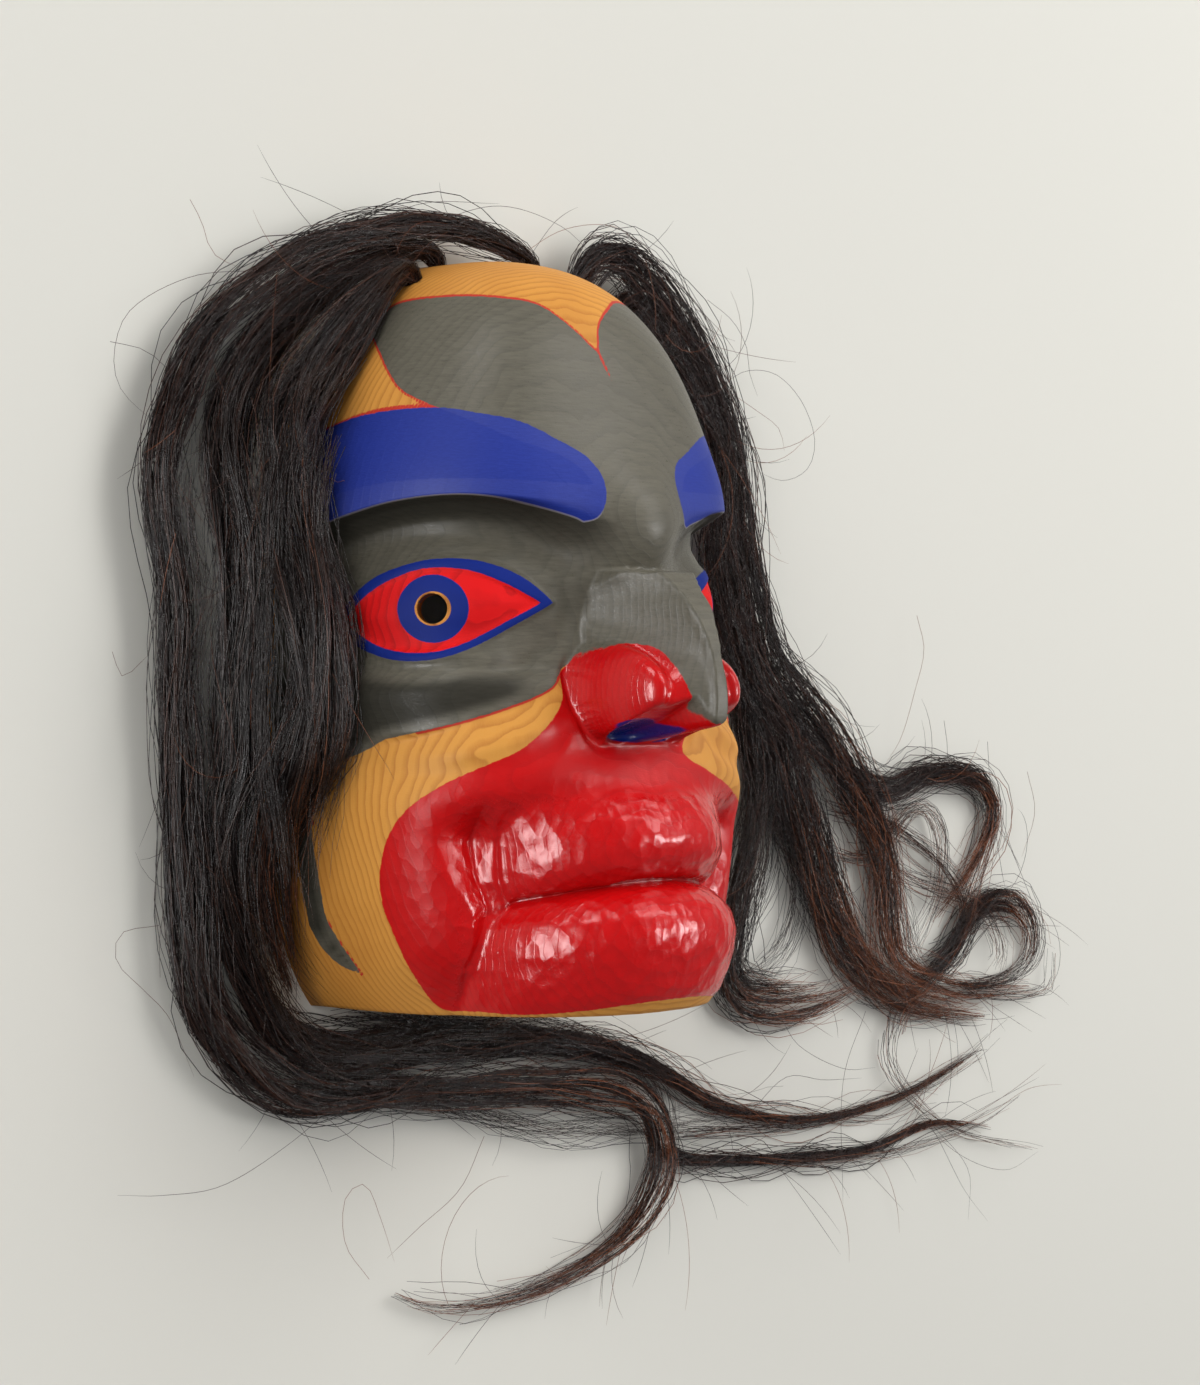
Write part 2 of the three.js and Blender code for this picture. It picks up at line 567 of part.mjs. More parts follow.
// A socket's mouth on the crown's outline and the way out of it.
function socketAt({ x, level }) {
  const share = Math.abs(x) / HALF_WIDTH;
  const rise = (1 - share ** OUTLINE_POWER) ** (1 / OUTLINE_POWER);
  const up = HEIGHT - MIDDLE;
  const acrossSlope = (Math.sign(x) * share ** (OUTLINE_POWER - 1)) / HALF_WIDTH;
  const out = new THREE.Vector3(acrossSlope, rise ** (OUTLINE_POWER - 1) / up, 0).normalize();
  return { mouth: new THREE.Vector3(x, MIDDLE + up * rise, level), out };
}

function socketDrill(socket) {
  const { mouth, out } = socketAt(socket);
  const beyond = 6;
  const centre = mouth.clone().addScaledVector(out, (beyond - SOCKET.deep) / 2);
  return drill(centre, out, SOCKET.across, SOCKET.deep + beyond, 12);
}

// One closed ring-by-ring strand of hair, with three shallow grooves winding along it.
function strand(line, neck) {
  const path = new THREE.CatmullRomCurve3(
    line.map(([x, y, z]) => new THREE.Vector3(x, y, z)),
    false,
    "centripetal",
  );
  const length = path.getLength();
  const steps = Math.max(Math.round((length - neck) / LOCK_STEP), 4);
  const shares = neck > 0 ? [0] : [];
  for (let i = 0; i < steps; i += 1) shares.push((neck + ((length - neck) * i) / steps) / length);
  shares.push(1);

  const radii = line.map(([, , , radius], i) => [i, radius]);
  const up = new THREE.Vector3(0, 0, 1);
  const points = [];
  const faces = [];
  shares.forEach((share, i) => {
    const centre = path.getPointAt(share);
    const along = path.getTangentAt(share);
    const side = new THREE.Vector3().crossVectors(along, up).normalize();
    const lift = new THREE.Vector3().crossVectors(side, along);
    const radius = curve(radii, path.getUtoTmapping(share) * (line.length - 1));
    const groove = neck > 0 && i < 2 ? 0 : LOCK_GROOVE;
    for (let j = 0; j < LOCK_SIDES; j += 1) {
      const turn = (2 * Math.PI * j) / LOCK_SIDES;
      const r = radius * (1 - (groove * (1 + Math.cos(3 * turn + 0.9 * i))) / 2);
      const point = centre
        .clone()
        .addScaledVector(side, r * Math.cos(turn))
        .addScaledVector(lift, r * Math.sin(turn));
      points.push([point.x, point.y, Math.max(point.z, LOCK_REST)]);
    }
  });

  const first = points.push(path.getPointAt(0).toArray()) - 1;
  const last = points.push(path.getPointAt(1).toArray()) - 1;
  const end = shares.length - 1;
  const at = (i, j) => i * LOCK_SIDES + (j % LOCK_SIDES);
  for (let j = 0; j < LOCK_SIDES; j += 1) {
    faces.push([first, at(0, j), at(0, j + 1)]);
    faces.push([last, at(end, j + 1), at(end, j)]);
    for (let i = 0; i < end; i += 1) {
      faces.push([at(i, j), at(i + 1, j), at(i + 1, j + 1)]);
      faces.push([at(i, j), at(i + 1, j + 1), at(i, j + 1)]);
    }
  }
  return geometryFrom(points, faces);
}

// The line of a lock, with its root in the socket put in front.
function rootedLine({ socket, line }) {
  const { mouth, out } = socketAt(socket);
  const deep = mouth.clone().addScaledVector(out, -ROOT.sunk);
  const lip = mouth.clone().addScaledVector(out, ROOT.neck);
  return [[...deep.toArray(), ROOT.radius], [...lip.toArray(), ROOT.radius], ...line];
}

// Joining and cutting
const wasm = await Module();
wasm.setup();

function toSolid(geometry) {
  const plain = geometry.clone();
  plain.deleteAttribute("normal");
  plain.deleteAttribute("uv");
  const merged = mergeVertices(plain, 1e-5);
  const mesh = new wasm.Mesh({
    numProp: 3,
    vertProperties: new Float32Array(merged.attributes.position.array),
    triVerts: new Uint32Array(merged.index.array),
  });
  return new wasm.Manifold(mesh);
}

function toGeometry(solid) {
  const mesh = solid.getMesh();
  const positions = [];
  for (let i = 0; i < mesh.vertProperties.length; i += mesh.numProp) {
    positions.push(mesh.vertProperties[i], mesh.vertProperties[i + 1], mesh.vertProperties[i + 2]);
  }
  const geometry = new THREE.BufferGeometry();
  geometry.setAttribute("position", new THREE.Float32BufferAttribute(positions, 3));
  geometry.setIndex(Array.from(mesh.triVerts));
  geometry.computeVertexNormals();
  return geometry;
}

function namedMesh(name, geometry, colour, roughness) {
  const material = new THREE.MeshStandardMaterial({ color: colour, roughness, metalness: 0 });
  const mesh = new THREE.Mesh(geometry, material);
  mesh.name = name;
  return mesh;
}

const cuts = [hollowBody(), pupilDrill(-1), pupilDrill(1), ...LOCKS.map((lock) => socketDrill(lock.socket))];
const mask = cuts.reduce((solid, cut) => solid.subtract(toSolid(cut)), toSolid(carvedBlock()));
const meshes = [namedMesh("mask", toGeometry(mask), 0xb8863f, 0.5)];
for (const lock of LOCKS) {
  const stem = toSolid(strand(rootedLine(lock), ROOT.sunk + ROOT.neck));
  const whole = lock.branches.reduce((solid, line) => solid.add(toSolid(strand(line, 0))), stem);
  meshes.push(namedMesh(lock.name, toGeometry(whole), 0x241812, 0.6));
}

// The whole part stands over the middle of its own footprint.
const inner = new THREE.Group();
inner.name = "canoe_mask_parts";
inner.add(...meshes);
const box = new THREE.Box3().setFromObject(inner);
inner.position.set(-(box.min.x + box.max.x) / 2, -(box.min.y + box.max.y) / 2, -box.min.z);
const part = new THREE.Group();
part.name = "canoe_mask";
part.add(inner);
part.updateMatrixWorld(true);

export default part;
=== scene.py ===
import math

import bmesh
import bpy
import numpy as np
from mathutils import Matrix, Vector
from mathutils.bvhtree import BVHTree
from mathutils.kdtree import KDTree


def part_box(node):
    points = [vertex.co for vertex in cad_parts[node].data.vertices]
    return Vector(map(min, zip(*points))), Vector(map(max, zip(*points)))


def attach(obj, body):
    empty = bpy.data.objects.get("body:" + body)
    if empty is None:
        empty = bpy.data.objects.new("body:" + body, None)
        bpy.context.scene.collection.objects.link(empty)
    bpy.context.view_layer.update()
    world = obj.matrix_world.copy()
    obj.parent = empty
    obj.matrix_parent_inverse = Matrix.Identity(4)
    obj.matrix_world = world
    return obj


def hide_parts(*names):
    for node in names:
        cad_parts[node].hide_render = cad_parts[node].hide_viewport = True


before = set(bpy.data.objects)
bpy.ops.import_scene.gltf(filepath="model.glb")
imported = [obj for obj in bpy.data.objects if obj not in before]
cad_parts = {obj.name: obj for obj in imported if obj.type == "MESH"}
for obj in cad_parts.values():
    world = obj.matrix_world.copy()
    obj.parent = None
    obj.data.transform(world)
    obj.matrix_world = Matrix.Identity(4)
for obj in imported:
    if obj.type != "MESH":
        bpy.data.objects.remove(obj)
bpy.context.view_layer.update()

# The mask's own frame: x = 0 down the middle of the face, y = 0 at the chin, z = 0 on the rim.
mask_low, mask_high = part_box("mask")
SHIFT = np.array([(mask_low[0] + mask_high[0]) / 2, mask_low[1], 0.0])
MM = 0.001

# Carving, in millimetres, as in the solids
HEIGHT = 300.0
HALF_WIDTH = 105.0
MIDDLE = 150.0
CHIN_REACH = 173.0
BROW_DEPTH = 100.0
CROWN_FALL = 6.0
SIDE_WALL = 13.0
FRONT_WALL = 16.0
RIM_FADE = 14.0
WRAP_RADIUS = 115.0
WRAP_BACK = 15.0
ROW_SHARE = 0.62
BROW_ROW = 0.3
OUTLINE_POWER = 2.2
LOWER_POWER = 3.3
EYE_ACROSS, EYE_UP, EYE_DEPTH, PUPIL = 86.6, 155.8, 117, 11.6
SOCKET_RADIUS, SOCKET_LENGTH = 4.25, 15
FACET, SMALL_FACET = 8.5, 5.0
RING_SPACING = 2.5

RIDGE_LINE = [(103, 139), (107, 143.5), (111, 145.7), (118, 147.2), (128, 146.7), (137.5, 144.7),
    (144, 143), (150, 140.4), (157, 136.7), (163, 131.5), (171, 124), (180, 113)]
RIDGE_HALF_WIDTH = [(111, 3.6), (128, 3), (138, 2.7), (144, 3.4), (150, 4.3), (157, 5.9), (163, 6.8),
    (171, 10)]
NOSE_SLOPE = [(100, 0.75), (118, 0.8), (128, 1), (138, 1.5), (148, 1.9), (158, 2.05), (165, 1.8),
    (172, 1.3)]
NOSE_SHOULDER = [(100, 13), (118, 14), (130, 17.5), (145, 25), (156, 26.5), (164, 24), (171, 18.5)]
MUZZLE_FRONT = [(0, 119), (6, 123.8), (14, 127.3), (24, 130), (31, 130.8), (36, 130.2), (41, 128),
    (45.3, 124), (48.4, 119), (50.4, 111.5), (52.4, 116.5), (56, 120.4), (61, 123.6), (67, 124.8),
    (74, 123), (81, 118.4), (90, 111.5), (100, 107.5), (108, 105)]
MUZZLE_HALF_WIDTH = [(0, 76), (6, 78), (14, 79.5), (26, 80), (36, 79.5), (43, 78), (50.4, 74), (56, 74.5),
    (64, 75), (72, 76.5), (80, 81.5), (90, 93), (100, 102), (108, 104)]
CHEEK_EDGE = [(20, 146), (36, 132.5), (41.4, 126.5), (53, 120.8), (64.6, 117), (74.8, 113.7), (84, 110.8),
    (92, 109.2), (100, 108.8), (112, 108.5), (160, 108)]


def mix(a, b, t):
    return a + (b - a) * t


def smooth(start, end, v):
    t = np.clip((np.asarray(v, float) - start) / (end - start), 0, 1)
    return t * t * (3 - 2 * t)


def bump(squared):
    t = np.clip(1 - squared, 0, 1)
    return t * t * (3 - 2 * t)


def bell(v):
    return np.exp(-np.square(v))


def soft_max(a, b, width):
    t = np.clip(0.5 + 0.5 * (a - b) / width, 0, 1)
    return mix(b, a, t) + width * t * (1 - t)


def running_sum(values):
    return np.concatenate([[0], np.cumsum(values)])


def curve(pairs, key):
    """A smooth curve through (key, value) pairs, level outside them."""
    keys = np.array([p[0] for p in pairs], float)
    values = np.array([p[1] for p in pairs], float)
    slope = np.empty(len(keys))
    slope[1:-1] = (values[2:] - values[:-2]) / (keys[2:] - keys[:-2])
    slope[0] = (values[1] - values[0]) / (keys[1] - keys[0])
    slope[-1] = (values[-1] - values[-2]) / (keys[-1] - keys[-2])
    key = np.clip(key, keys[0], keys[-1])
    i = np.clip(np.searchsorted(keys, key, side="right") - 1, 0, len(keys) - 2)
    span = keys[i + 1] - keys[i]
    t = (key - keys[i]) / span
    t2, t3 = t * t, t * t * t
    return (values[i] * (2 * t3 - 3 * t2 + 1) + values[i + 1] * (3 * t2 - 2 * t3)
            + span * (slope[i] * (t3 - 2 * t2 + t) + slope[i + 1] * (t3 - t2)))


def dome_half_width(y):
    up = np.clip((y - MIDDLE) / (HEIGHT - MIDDLE), 0, 1)
    down = np.clip((MIDDLE - y) / CHIN_REACH, 0, 1)
    above = np.maximum(1 - up ** OUTLINE_POWER, 0) ** (1 / OUTLINE_POWER)
    return HALF_WIDTH * np.where(y > MIDDLE, above, (1 - down ** LOWER_POWER) ** (1 / LOWER_POWER))


def dome_depth(y):
    up = np.clip((y - MIDDLE) / (HEIGHT - MIDDLE), 0, 1)
    top = BROW_DEPTH * np.maximum(1 - up ** 3, 0) ** (1 / 3)
    return top + 7 * smooth(150, 96, y) - 19 * smooth(98, 66, y) - 5 * smooth(40, 0, y)


def dome_power(y):
    return 2.4 + 0.6 * smooth(150, 96, y) + 2.8 * smooth(98, 66, y) - 2 * smooth(30, 0, y)


def dome(s, t):
    """The plain dome: s across from rim to rim, t up from the chin to the crown."""
    rise = np.maximum(t, 0)
    p = s * np.sqrt(1 - rise * rise / 2)
    q = rise * np.sqrt(1 - s * s / 2)
    turn = np.arctan2(q, p)
    c, n = np.cos(turn), np.sin(turn)
    reach = ((np.abs(c) / HALF_WIDTH) ** OUTLINE_POWER
             + (np.abs(n) / (HEIGHT - MIDDLE)) ** OUTLINE_POWER) ** (-1 / OUTLINE_POWER)
    r = np.sin(np.minimum(np.hypot(p, q), 1) * math.pi / 2)
    power = 2.4 + 1.6 * n * n
    y_up = MIDDLE + reach * r * n
    z_up = (BROW_DEPTH - CROWN_FALL * ((y_up - MIDDLE) / (HEIGHT - MIDDLE)) ** 2)
    z_up = z_up * np.maximum(1 - r ** power, 0) ** (1 / power)
    y_low = MIDDLE + MIDDLE * np.minimum(t, 0) / ROW_SHARE
    half = dome_half_width(y_low)
    x_low = half * np.sin(s * math.pi / 2)
    power = dome_power(y_low)
    z_low = dome_depth(y_low) * np.maximum(1 - np.minimum(np.abs(x_low) / half, 1) ** power, 0) ** (1 / power)
    up = t > 0
    return np.where(up, reach * r * c, x_low), np.where(up, y_up, y_low), np.where(up, z_up, z_low)


def brow_edge(a):
    fall = np.where(a > 75, 11 * ((a - 75) / 53) ** 2, 7 * ((75 - a) / 48) ** 2)
    return 199 - fall


def mouth_droop(a):
    return 10.5 * (a / 66) ** 2.2


def fold_depth(a, y):
    """The fold beside the mouth: a flat facet that slopes down to the ends of the lips."""
    facet = np.maximum(18 * np.clip((y - 20) / 48, 0, 1), 3)
    away = a - (69 + 5 * smooth(34, 14, y) - 4 * bell((y - 42) / 8))
    share = np.clip(1 - np.where(away > 0, away / facet, -away / 5), 0, 1)
    depth = np.minimum(7.4, 0.42 * facet)
    return depth * mix(share, smooth(0, 1, share), 0.4) * smooth(2, 16, y) * smooth(86, 68, y)


def carving(a, y):
    above = y - brow_edge(a)
    temple = smooth(150, 122, a)
    soft = 24 * smooth(56, 22, a)
    swell = np.where(above > 0, bell(above / 26), 1)
    edge = smooth(0, 1, (above + 3 + soft) / (3.3 + 1.2 * soft))
    h = temple * 5 * swell * edge * mix(0.9, 1, smooth(20, 50, a))
    inner = mix(smooth(22, 60, a), smooth(8, 34, a), smooth(165, 183, y))
    under = smooth(0, 1, (0.5 + 0.2 * soft - above) / (10.5 + soft))
    h = h - temple * 9.5 * under * smooth(118, 150, y) * inner
    h = h + 9 * bump(0.9 * (((a - 85) / 52) ** 2 + ((y - 156) / 28) ** 2))
    h = h + 3.5 * bump(((a - 82) / 52) ** 2 + ((y - 118) / 26) ** 2)
    over = y - curve(CHEEK_EDGE, a)
    step = mix(0.7, 2.6, smooth(70, 108, a)) * smooth(30, 45, a) * smooth(140, 122, y)
    start = -1.5 - 4.5 * smooth(85, 110, a)
    h = h + step * smooth(0, 1, (over - start) / (0.2 - start))
    h = h - 2 * bump(((a - 50) / 30) ** 2 + ((over + 11) / 17) ** 2)
    valley = np.where(over > 0, smooth(21, 0, over), smooth(-15, 0, over))
    h = h - 5 * valley * smooth(38, 58, a) * smooth(130, 108, a)
    h = h - fold_depth(a, y)
    return h - 0.8 * bell((a - 34) / 5) * smooth(176, 166, y) * smooth(118, 130, y)


def muzzle(x, y, under):
    a = np.abs(x)
    level = y + mouth_droop(a) * smooth(6, 45, y) * smooth(112, 70, y)
    k = np.minimum(a / curve(MUZZLE_HALF_WIDTH, level), 1)
    power = 2.35 + 0.1 * smooth(0, 30, y)
    arch = curve(MUZZLE_FRONT, level) * np.maximum(1 - k ** power, 0) ** (1 / power)
    lip_end = 7 * smooth(56, 78, a) * smooth(84, 72, y)
    front = arch - lip_end - 40 * smooth(90, 130, y) - 60 * smooth(12, 0, under)
    return np.where(y > 130, -60, front)


def wing_share(a, y):
    """Distance from the middle of a wing of the nose, 1 on its outline."""
    return np.hypot((a - 21.5) / 12, (y - 124.5) / 19.5)


def wing_groove(a, y):
    return (1.5 * bell((wing_share(a, y) - 1.13) / 0.13) * smooth(14, 21.5, a) * smooth(144, 130, y)
            * smooth(98, 106, y))


def nose(x, y):
    a = np.abs(x)
    out = np.maximum(a - curve(RIDGE_HALF_WIDTH, y), 0)
    z = curve(RIDGE_LINE, y) - 1.4 * smooth(0, 1.2, out) - curve(NOSE_SLOPE, y) * out + 0.012 * out * out
    z = z - 2 * bump(((a - 18) / 14) ** 2 + ((y - 146) / 18) ** 2)
    past = np.maximum(a - curve(NOSE_SHOULDER, y), 0)
    z = z - mix(3.5 * past, 0.2 * past * past, smooth(142, 124, y))
    wing = wing_share(a, y)
    z = np.where(wing < 1, soft_max(z, 101 + 36 * np.sqrt(np.maximum(1 - wing * wing, 0)), 4), z)
    z = -soft_max(-z, -(106 + mix(5.6, 1.95, smooth(0, 9, a)) * (y - 104)), 3)
    reach = mix(33.5, 37, smooth(130, 147, y))
    on = smooth(173.2, 171, y) * smooth(0, 1, (reach + 3 - a) / 3)
    return np.where((y > 86) & (on > 0), mix(60, z, on), -60)


def nostril(x, y, z):
    across = (np.abs(x) - 16) / 12.5
    up = (y - 109) / 5
    return np.where(z > 105, 7 * bump(across * across + up * up), 0)


def section_normal(x, y, z):
    half = np.maximum(dome_half_width(y), 1e-6)
    depth = np.maximum(dome_depth(y), 1e-6)
    power = dome_power(y) - 1
    nx = np.sign(x) * (np.abs(x) / half + 1e-9) ** power / half
    nz = (z / depth + 1e-9) ** power / depth
    length = np.hypot(nx, nz) + 1e-12
    return nx / length, nz / length


def face(s, t):
    """The carved face. Returns x, y, z and the distance round the face, u."""
    x0, y, z0 = dome(s, t)
    u = WRAP_RADIUS * np.arctan2(x0, z0 + WRAP_BACK)
    nx, nz = section_normal(x0, y, z0)
    h = (carving(np.hypot(u, 3), y) + fine_carving(u, y)) * smooth(0, RIM_FADE, z0)
    x = x0 + nx * h
    z = z0 + nz * h
    z = soft_max(z, muzzle(x, y, z), mix(1.2, 12, smooth(70, 88, y)))
    z = z + 9 * bell((y - 186) / 24) * bell(x / 22) + 4 * bell((y - 205) / 22) * bell(x / 30)
    z = soft_max(z, nose(x, y), 2.5)
    z = z - nostril(x, y, z) - wing_groove(np.abs(x), y)
    return x, y, np.where((np.abs(s) == 1) | (t == 1), 0, z), u


def fine_carving(u, y):
    """The lids' rim, the ball of the eye set a little back inside it, and the fold under the eye."""
    a = np.abs(u)
    lid = region(EYE_LID, a, y)
    ball = region(EYE_BALL, a, y)
    h = 0.9 * smooth(-1.6, 0.2, lid) - 1.0 * smooth(-0.3, 1.0, ball)
    h = h + 1.6 * smooth(0.0, 12.0, ball) * smooth(0.0, 1.0, ball)
    fold = bell((a - 78) / 34) * bell((y - 133.5) / 2.6)
    bag = bell((a - 76) / 36) * bell((y - 127) / 5)
    return h - 1.5 * fold * (lid < 0) + 1.0 * bag


# Painted areas, each as an outline in (distance from the middle line, height), with smooth runs
# between the corners.
def run(points):
    """Points along a smooth run through a few."""
    pts = np.array(points, float)
    last = len(pts) - 1
    out = []
    for i in range(last):
        a, b, c, d = pts[max(i - 1, 0)], pts[i], pts[i + 1], pts[min(i + 2, last)]
        for k in range(6):
            t = k / 6
            out.append(0.5 * (2 * b + (c - a) * t + (2 * a - 5 * b + 4 * c - d) * t * t
                              + (3 * b - a - 3 * c + d) * t ** 3))
    out.append(pts[-1])
    return np.array(out)


def outline(*runs):
    return np.vstack([run(r) for r in runs])


def segments_distance(pts, a, v):
    best = np.full(np.shape(a), 1e9)
    for (x0, y0), (x1, y1) in zip(pts[:-1], pts[1:]):
        dx, dy = x1 - x0, y1 - y0
        length = dx * dx + dy * dy
        if length < 1e-9:
            continue
        t = np.clip(((a - x0) * dx + (v - y0) * dy) / length, 0, 1)
        best = np.minimum(best, (a - x0 - t * dx) ** 2 + (v - y0 - t * dy) ** 2)
    return np.sqrt(best)


def region(pts, a, v):
    """Distance to an outline, positive inside it."""
    closed = np.vstack([pts, pts[:1]])
    inside = np.zeros(np.shape(a), bool)
    for (x0, y0), (x1, y1) in zip(closed[:-1], closed[1:]):
        crosses = ((y1 > v) != (y0 > v)) & (a < (x0 - x1) * (v - y1) / (y0 - y1 + 1e-12) + x1)
        inside ^= crosses
    d = segments_distance(closed, a, v)
    return np.where(inside, d, -d)


EYE_LID = outline([(39, 158.6), (52, 168.5), (68, 174), (84, 175), (99, 172), (113, 165.5), (128, 151.5)],
    [(128, 150.5), (119, 142.5), (103, 136.7), (88, 136.2), (73, 140.8), (52, 151.5), (39, 158.6)])
EYE_BALL = outline([(44.5, 158.4), (57.5, 164.9), (73, 170.4), (88, 171.3), (99, 168.3), (111, 162),
    (123, 151.5)], [(123, 150.5), (106.5, 141.3), (91, 139), (77, 142), (58, 151.5), (44.5, 158.4)])
HIGH_EDGE = [(90, 280), (110, 273), (117, 263.5)]
SIDE_EDGE = [(117, 263.5), (111, 256), (101, 242), (93, 236.5), (84, 232.4)]
LEFT_TIP = [(-3.8, 246.6), (-6.6, 252.7), (-8.6, 258.2)]
LEFT_TOP = [(-8.6, 258.2), (-12.2, 260.5), (-18.8, 266.2), (-33.8, 275.6), (-52.7, 278.1), (-75, 278.8),
    (-104, 277.5), (-114, 272), (-117, 263.5)]
RIGHT_TIP = [(-3.0, 246.8), (-5.0, 253), (-7.2, 258.8)]
RIGHT_TOP = [(-7.2, 258.8), (-1.1, 269.6), (14.3, 278.1), (30, 282), (60, 282)] + HIGH_EDGE
FOREHEAD_LEFT = outline(LEFT_TIP, LEFT_TOP, [(-x, y) for x, y in SIDE_EDGE], [(-84, 232.4), (-60, 222),
    (-26, 205), (-26, 150)], [(-26, 150), (20, 150)], [(20, 150), (20, 236)], [(20, 236), (-3.8, 246.6)])
FOREHEAD_RIGHT = outline(RIGHT_TIP, RIGHT_TOP, SIDE_EDGE, [(84, 232.4), (60, 222), (26, 205), (26, 150)],
    [(26, 150), (-24, 150)], [(-24, 150), (-24, 236)], [(-24, 236), (-3.0, 246.8)])
BROW = outline([(150, 221), (137, 224.6), (117, 230.3), (87.5, 232.7), (68.8, 230.4), (53, 227.5),
    (38, 221), (27, 215.5), (21.7, 208), (21.8, 199), (25, 191.5), (30, 189.6)], [(30, 189.6), (36.5, 192),
    (62, 197.6), (80, 198.8), (98.5, 196.6), (114.6, 192.4), (131, 186.8), (150, 178)])
CHEEK_GREY = outline([(20, 143), (36, 132.1), (41.4, 126.5), (53, 120.8), (74.8, 113.7), (92, 109),
    (104, 106), (113, 101.5), (124, 96), (132, 86), (136, 71), (134, 55), (132, 38), (128, 30.6),
    (117, 15.6)], [(117, 15.6), (128, 18.5), (138, 26), (146, 40), (150, 60), (155, 80)], [(155, 80),
    (155, 190)], [(155, 190), (100, 204), (20, 204)], [(-30, 204), (-30, 100)], [(0, 100), (20, 143)])
MUZZLE_TOP = [(0, 112), (3, 112.4), (8, 118.8), (10.9, 126.8), (12.2, 139.4), (18.4, 143), (27.2, 141),
    (32.5, 134.5), (36.5, 131)]
MUZZLE_FOOT = [(104.7, 43.3), (102.7, 37.2), (94.7, 17.8), (84, 3.2), (72, 1.8), (60, 1), (42, 2.6),
    (26, 4.2), (8, 5), (-30, 5)]
MUZZLE_LEFT = outline([(-30, 112), (0, 112)], MUZZLE_TOP, [(36.5, 131), (37.5, 122), (43.5, 113.4),
    (56, 102.7), (68.9, 96.7), (83.9, 89.2), (95.7, 79.9), (102.7, 68.2), (105.6, 54.4), (104.7, 43.3)],
    MUZZLE_FOOT)
MUZZLE_RIGHT = outline([(-30, 112), (0, 112)], MUZZLE_TOP, [(36.5, 131), (37, 122), (32, 112), (24, 103),
    (24, 98.2), (40.7, 91.2), (62.1, 84.9), (85.3, 78), (97, 72), (104, 60), (104.7, 43.3)], MUZZLE_FOOT)
NOSTRIL_BLUE = outline([(25, 109.2), (27, 112), (25.5, 113.6), (20, 114.1), (11, 113), (4.5, 110.5),
    (1.5, 108)], [(1.5, 108), (1, 106), (4, 104.3), (12.7, 105.1), (20, 107), (25, 109.2)])
FOREHEAD_LINES = [outline(LEFT_TIP, LEFT_TOP), outline(RIGHT_TIP, RIGHT_TOP)]
LINES = [
    outline(SIDE_EDGE),
    outline([(84, 232.4), (100, 232.9), (117, 230.3), (137, 224.6), (150, 221)]),
    outline([(36, 132.1), (41.4, 126.5), (53, 120.8), (74.8, 113.7), (92, 109)]),
    outline([(132, 86), (136, 71), (134, 55), (132, 38), (128, 30.6), (117, 15.6)]),
]


# Meshes
def put_object(name, data):
    obj = bpy.data.objects.new(name, data)
    bpy.context.scene.collection.objects.link(obj)
    return obj


def new_mesh(name, points, faces):
    """An object from points in the mask's own millimetres."""
    mesh = bpy.data.meshes.new(name)
    place = np.asarray(points, float) * MM + SHIFT
    mesh.from_pydata(place.tolist(), [], faces)
    mesh.validate()
    mesh.polygons.foreach_set("use_smooth", np.ones(len(mesh.polygons), bool))
    mesh.update()
    return put_object(name, mesh)


def set_floats(mesh, name, values):
    attribute = mesh.attributes.new(name, "FLOAT", "POINT")
    attribute.data.foreach_set("value", np.asarray(values, np.float32).ravel())


def spread(count, low, high, density):
    fine = np.linspace(low, high, 4001)
    middle = (fine[:-1] + fine[1:]) / 2
    total = running_sum(density(middle))
    return np.interp(np.linspace(0, total[-1], count + 1), total, fine)


def brow_row(s):
    low = np.full(s.shape, 0.02)
    high = np.full(s.shape, 0.5)
    for _ in range(24):
        t = (low + high) / 2
        x, y, z = dome(s, t)
        a = np.clip(WRAP_RADIUS * np.arctan2(np.abs(x), z + WRAP_BACK), 42, 135)
        below = y < brow_edge(a) - 1.3
        low = np.where(below, t, low)
        high = np.where(below, high, t)
    return low


def guided(s, t):
    y = MIDDLE * (1 + t / ROW_SHARE)
    a = np.minimum(dome_half_width(y) * np.sin(np.abs(s) * math.pi / 2), 74)
    low = t - mouth_droop(a) * smooth(8, 46, y) * smooth(104, 64, y) * ROW_SHARE / MIDDLE
    near = smooth(0.01, BROW_ROW - 0.03, t) * smooth(BROW_ROW + 0.4, BROW_ROW + 0.06, t)
    high = t + (brow_row(s) - BROW_ROW) * near
    return np.where(t <= 0, low, high)


def cells(u, v, size, seed, stretch):
    """Squared distance to the nearest of a set of scattered points, one to a cell."""
    p, q = u / size, v / (size * stretch)
    i, j = np.floor(p), np.floor(q)
    best = np.full(np.shape(u), 9.0)
    for di in (-1, 0, 1):
        for dj in (-1, 0, 1):
            ci, cj = i + di, j + dj
            h1 = np.modf(np.abs(np.sin(ci * 127.1 + cj * 311.7 + seed) * 43758.5453))[0]
            h2 = np.modf(np.abs(np.sin(ci * 269.5 + cj * 183.3 + seed * 1.7) * 24634.6345))[0]
            best = np.minimum(best, (ci + h1 - p) ** 2 + (cj + h2 - q) ** 2)
    return best


def travelled(top, way):
    """Lengths along the surface, from its first column (way 1) or its first row (way 0)."""
    steps = np.linalg.norm(np.diff(top, axis=way), axis=-1)
    return np.insert(np.cumsum(steps, axis=way), 0, 0, axis=way)


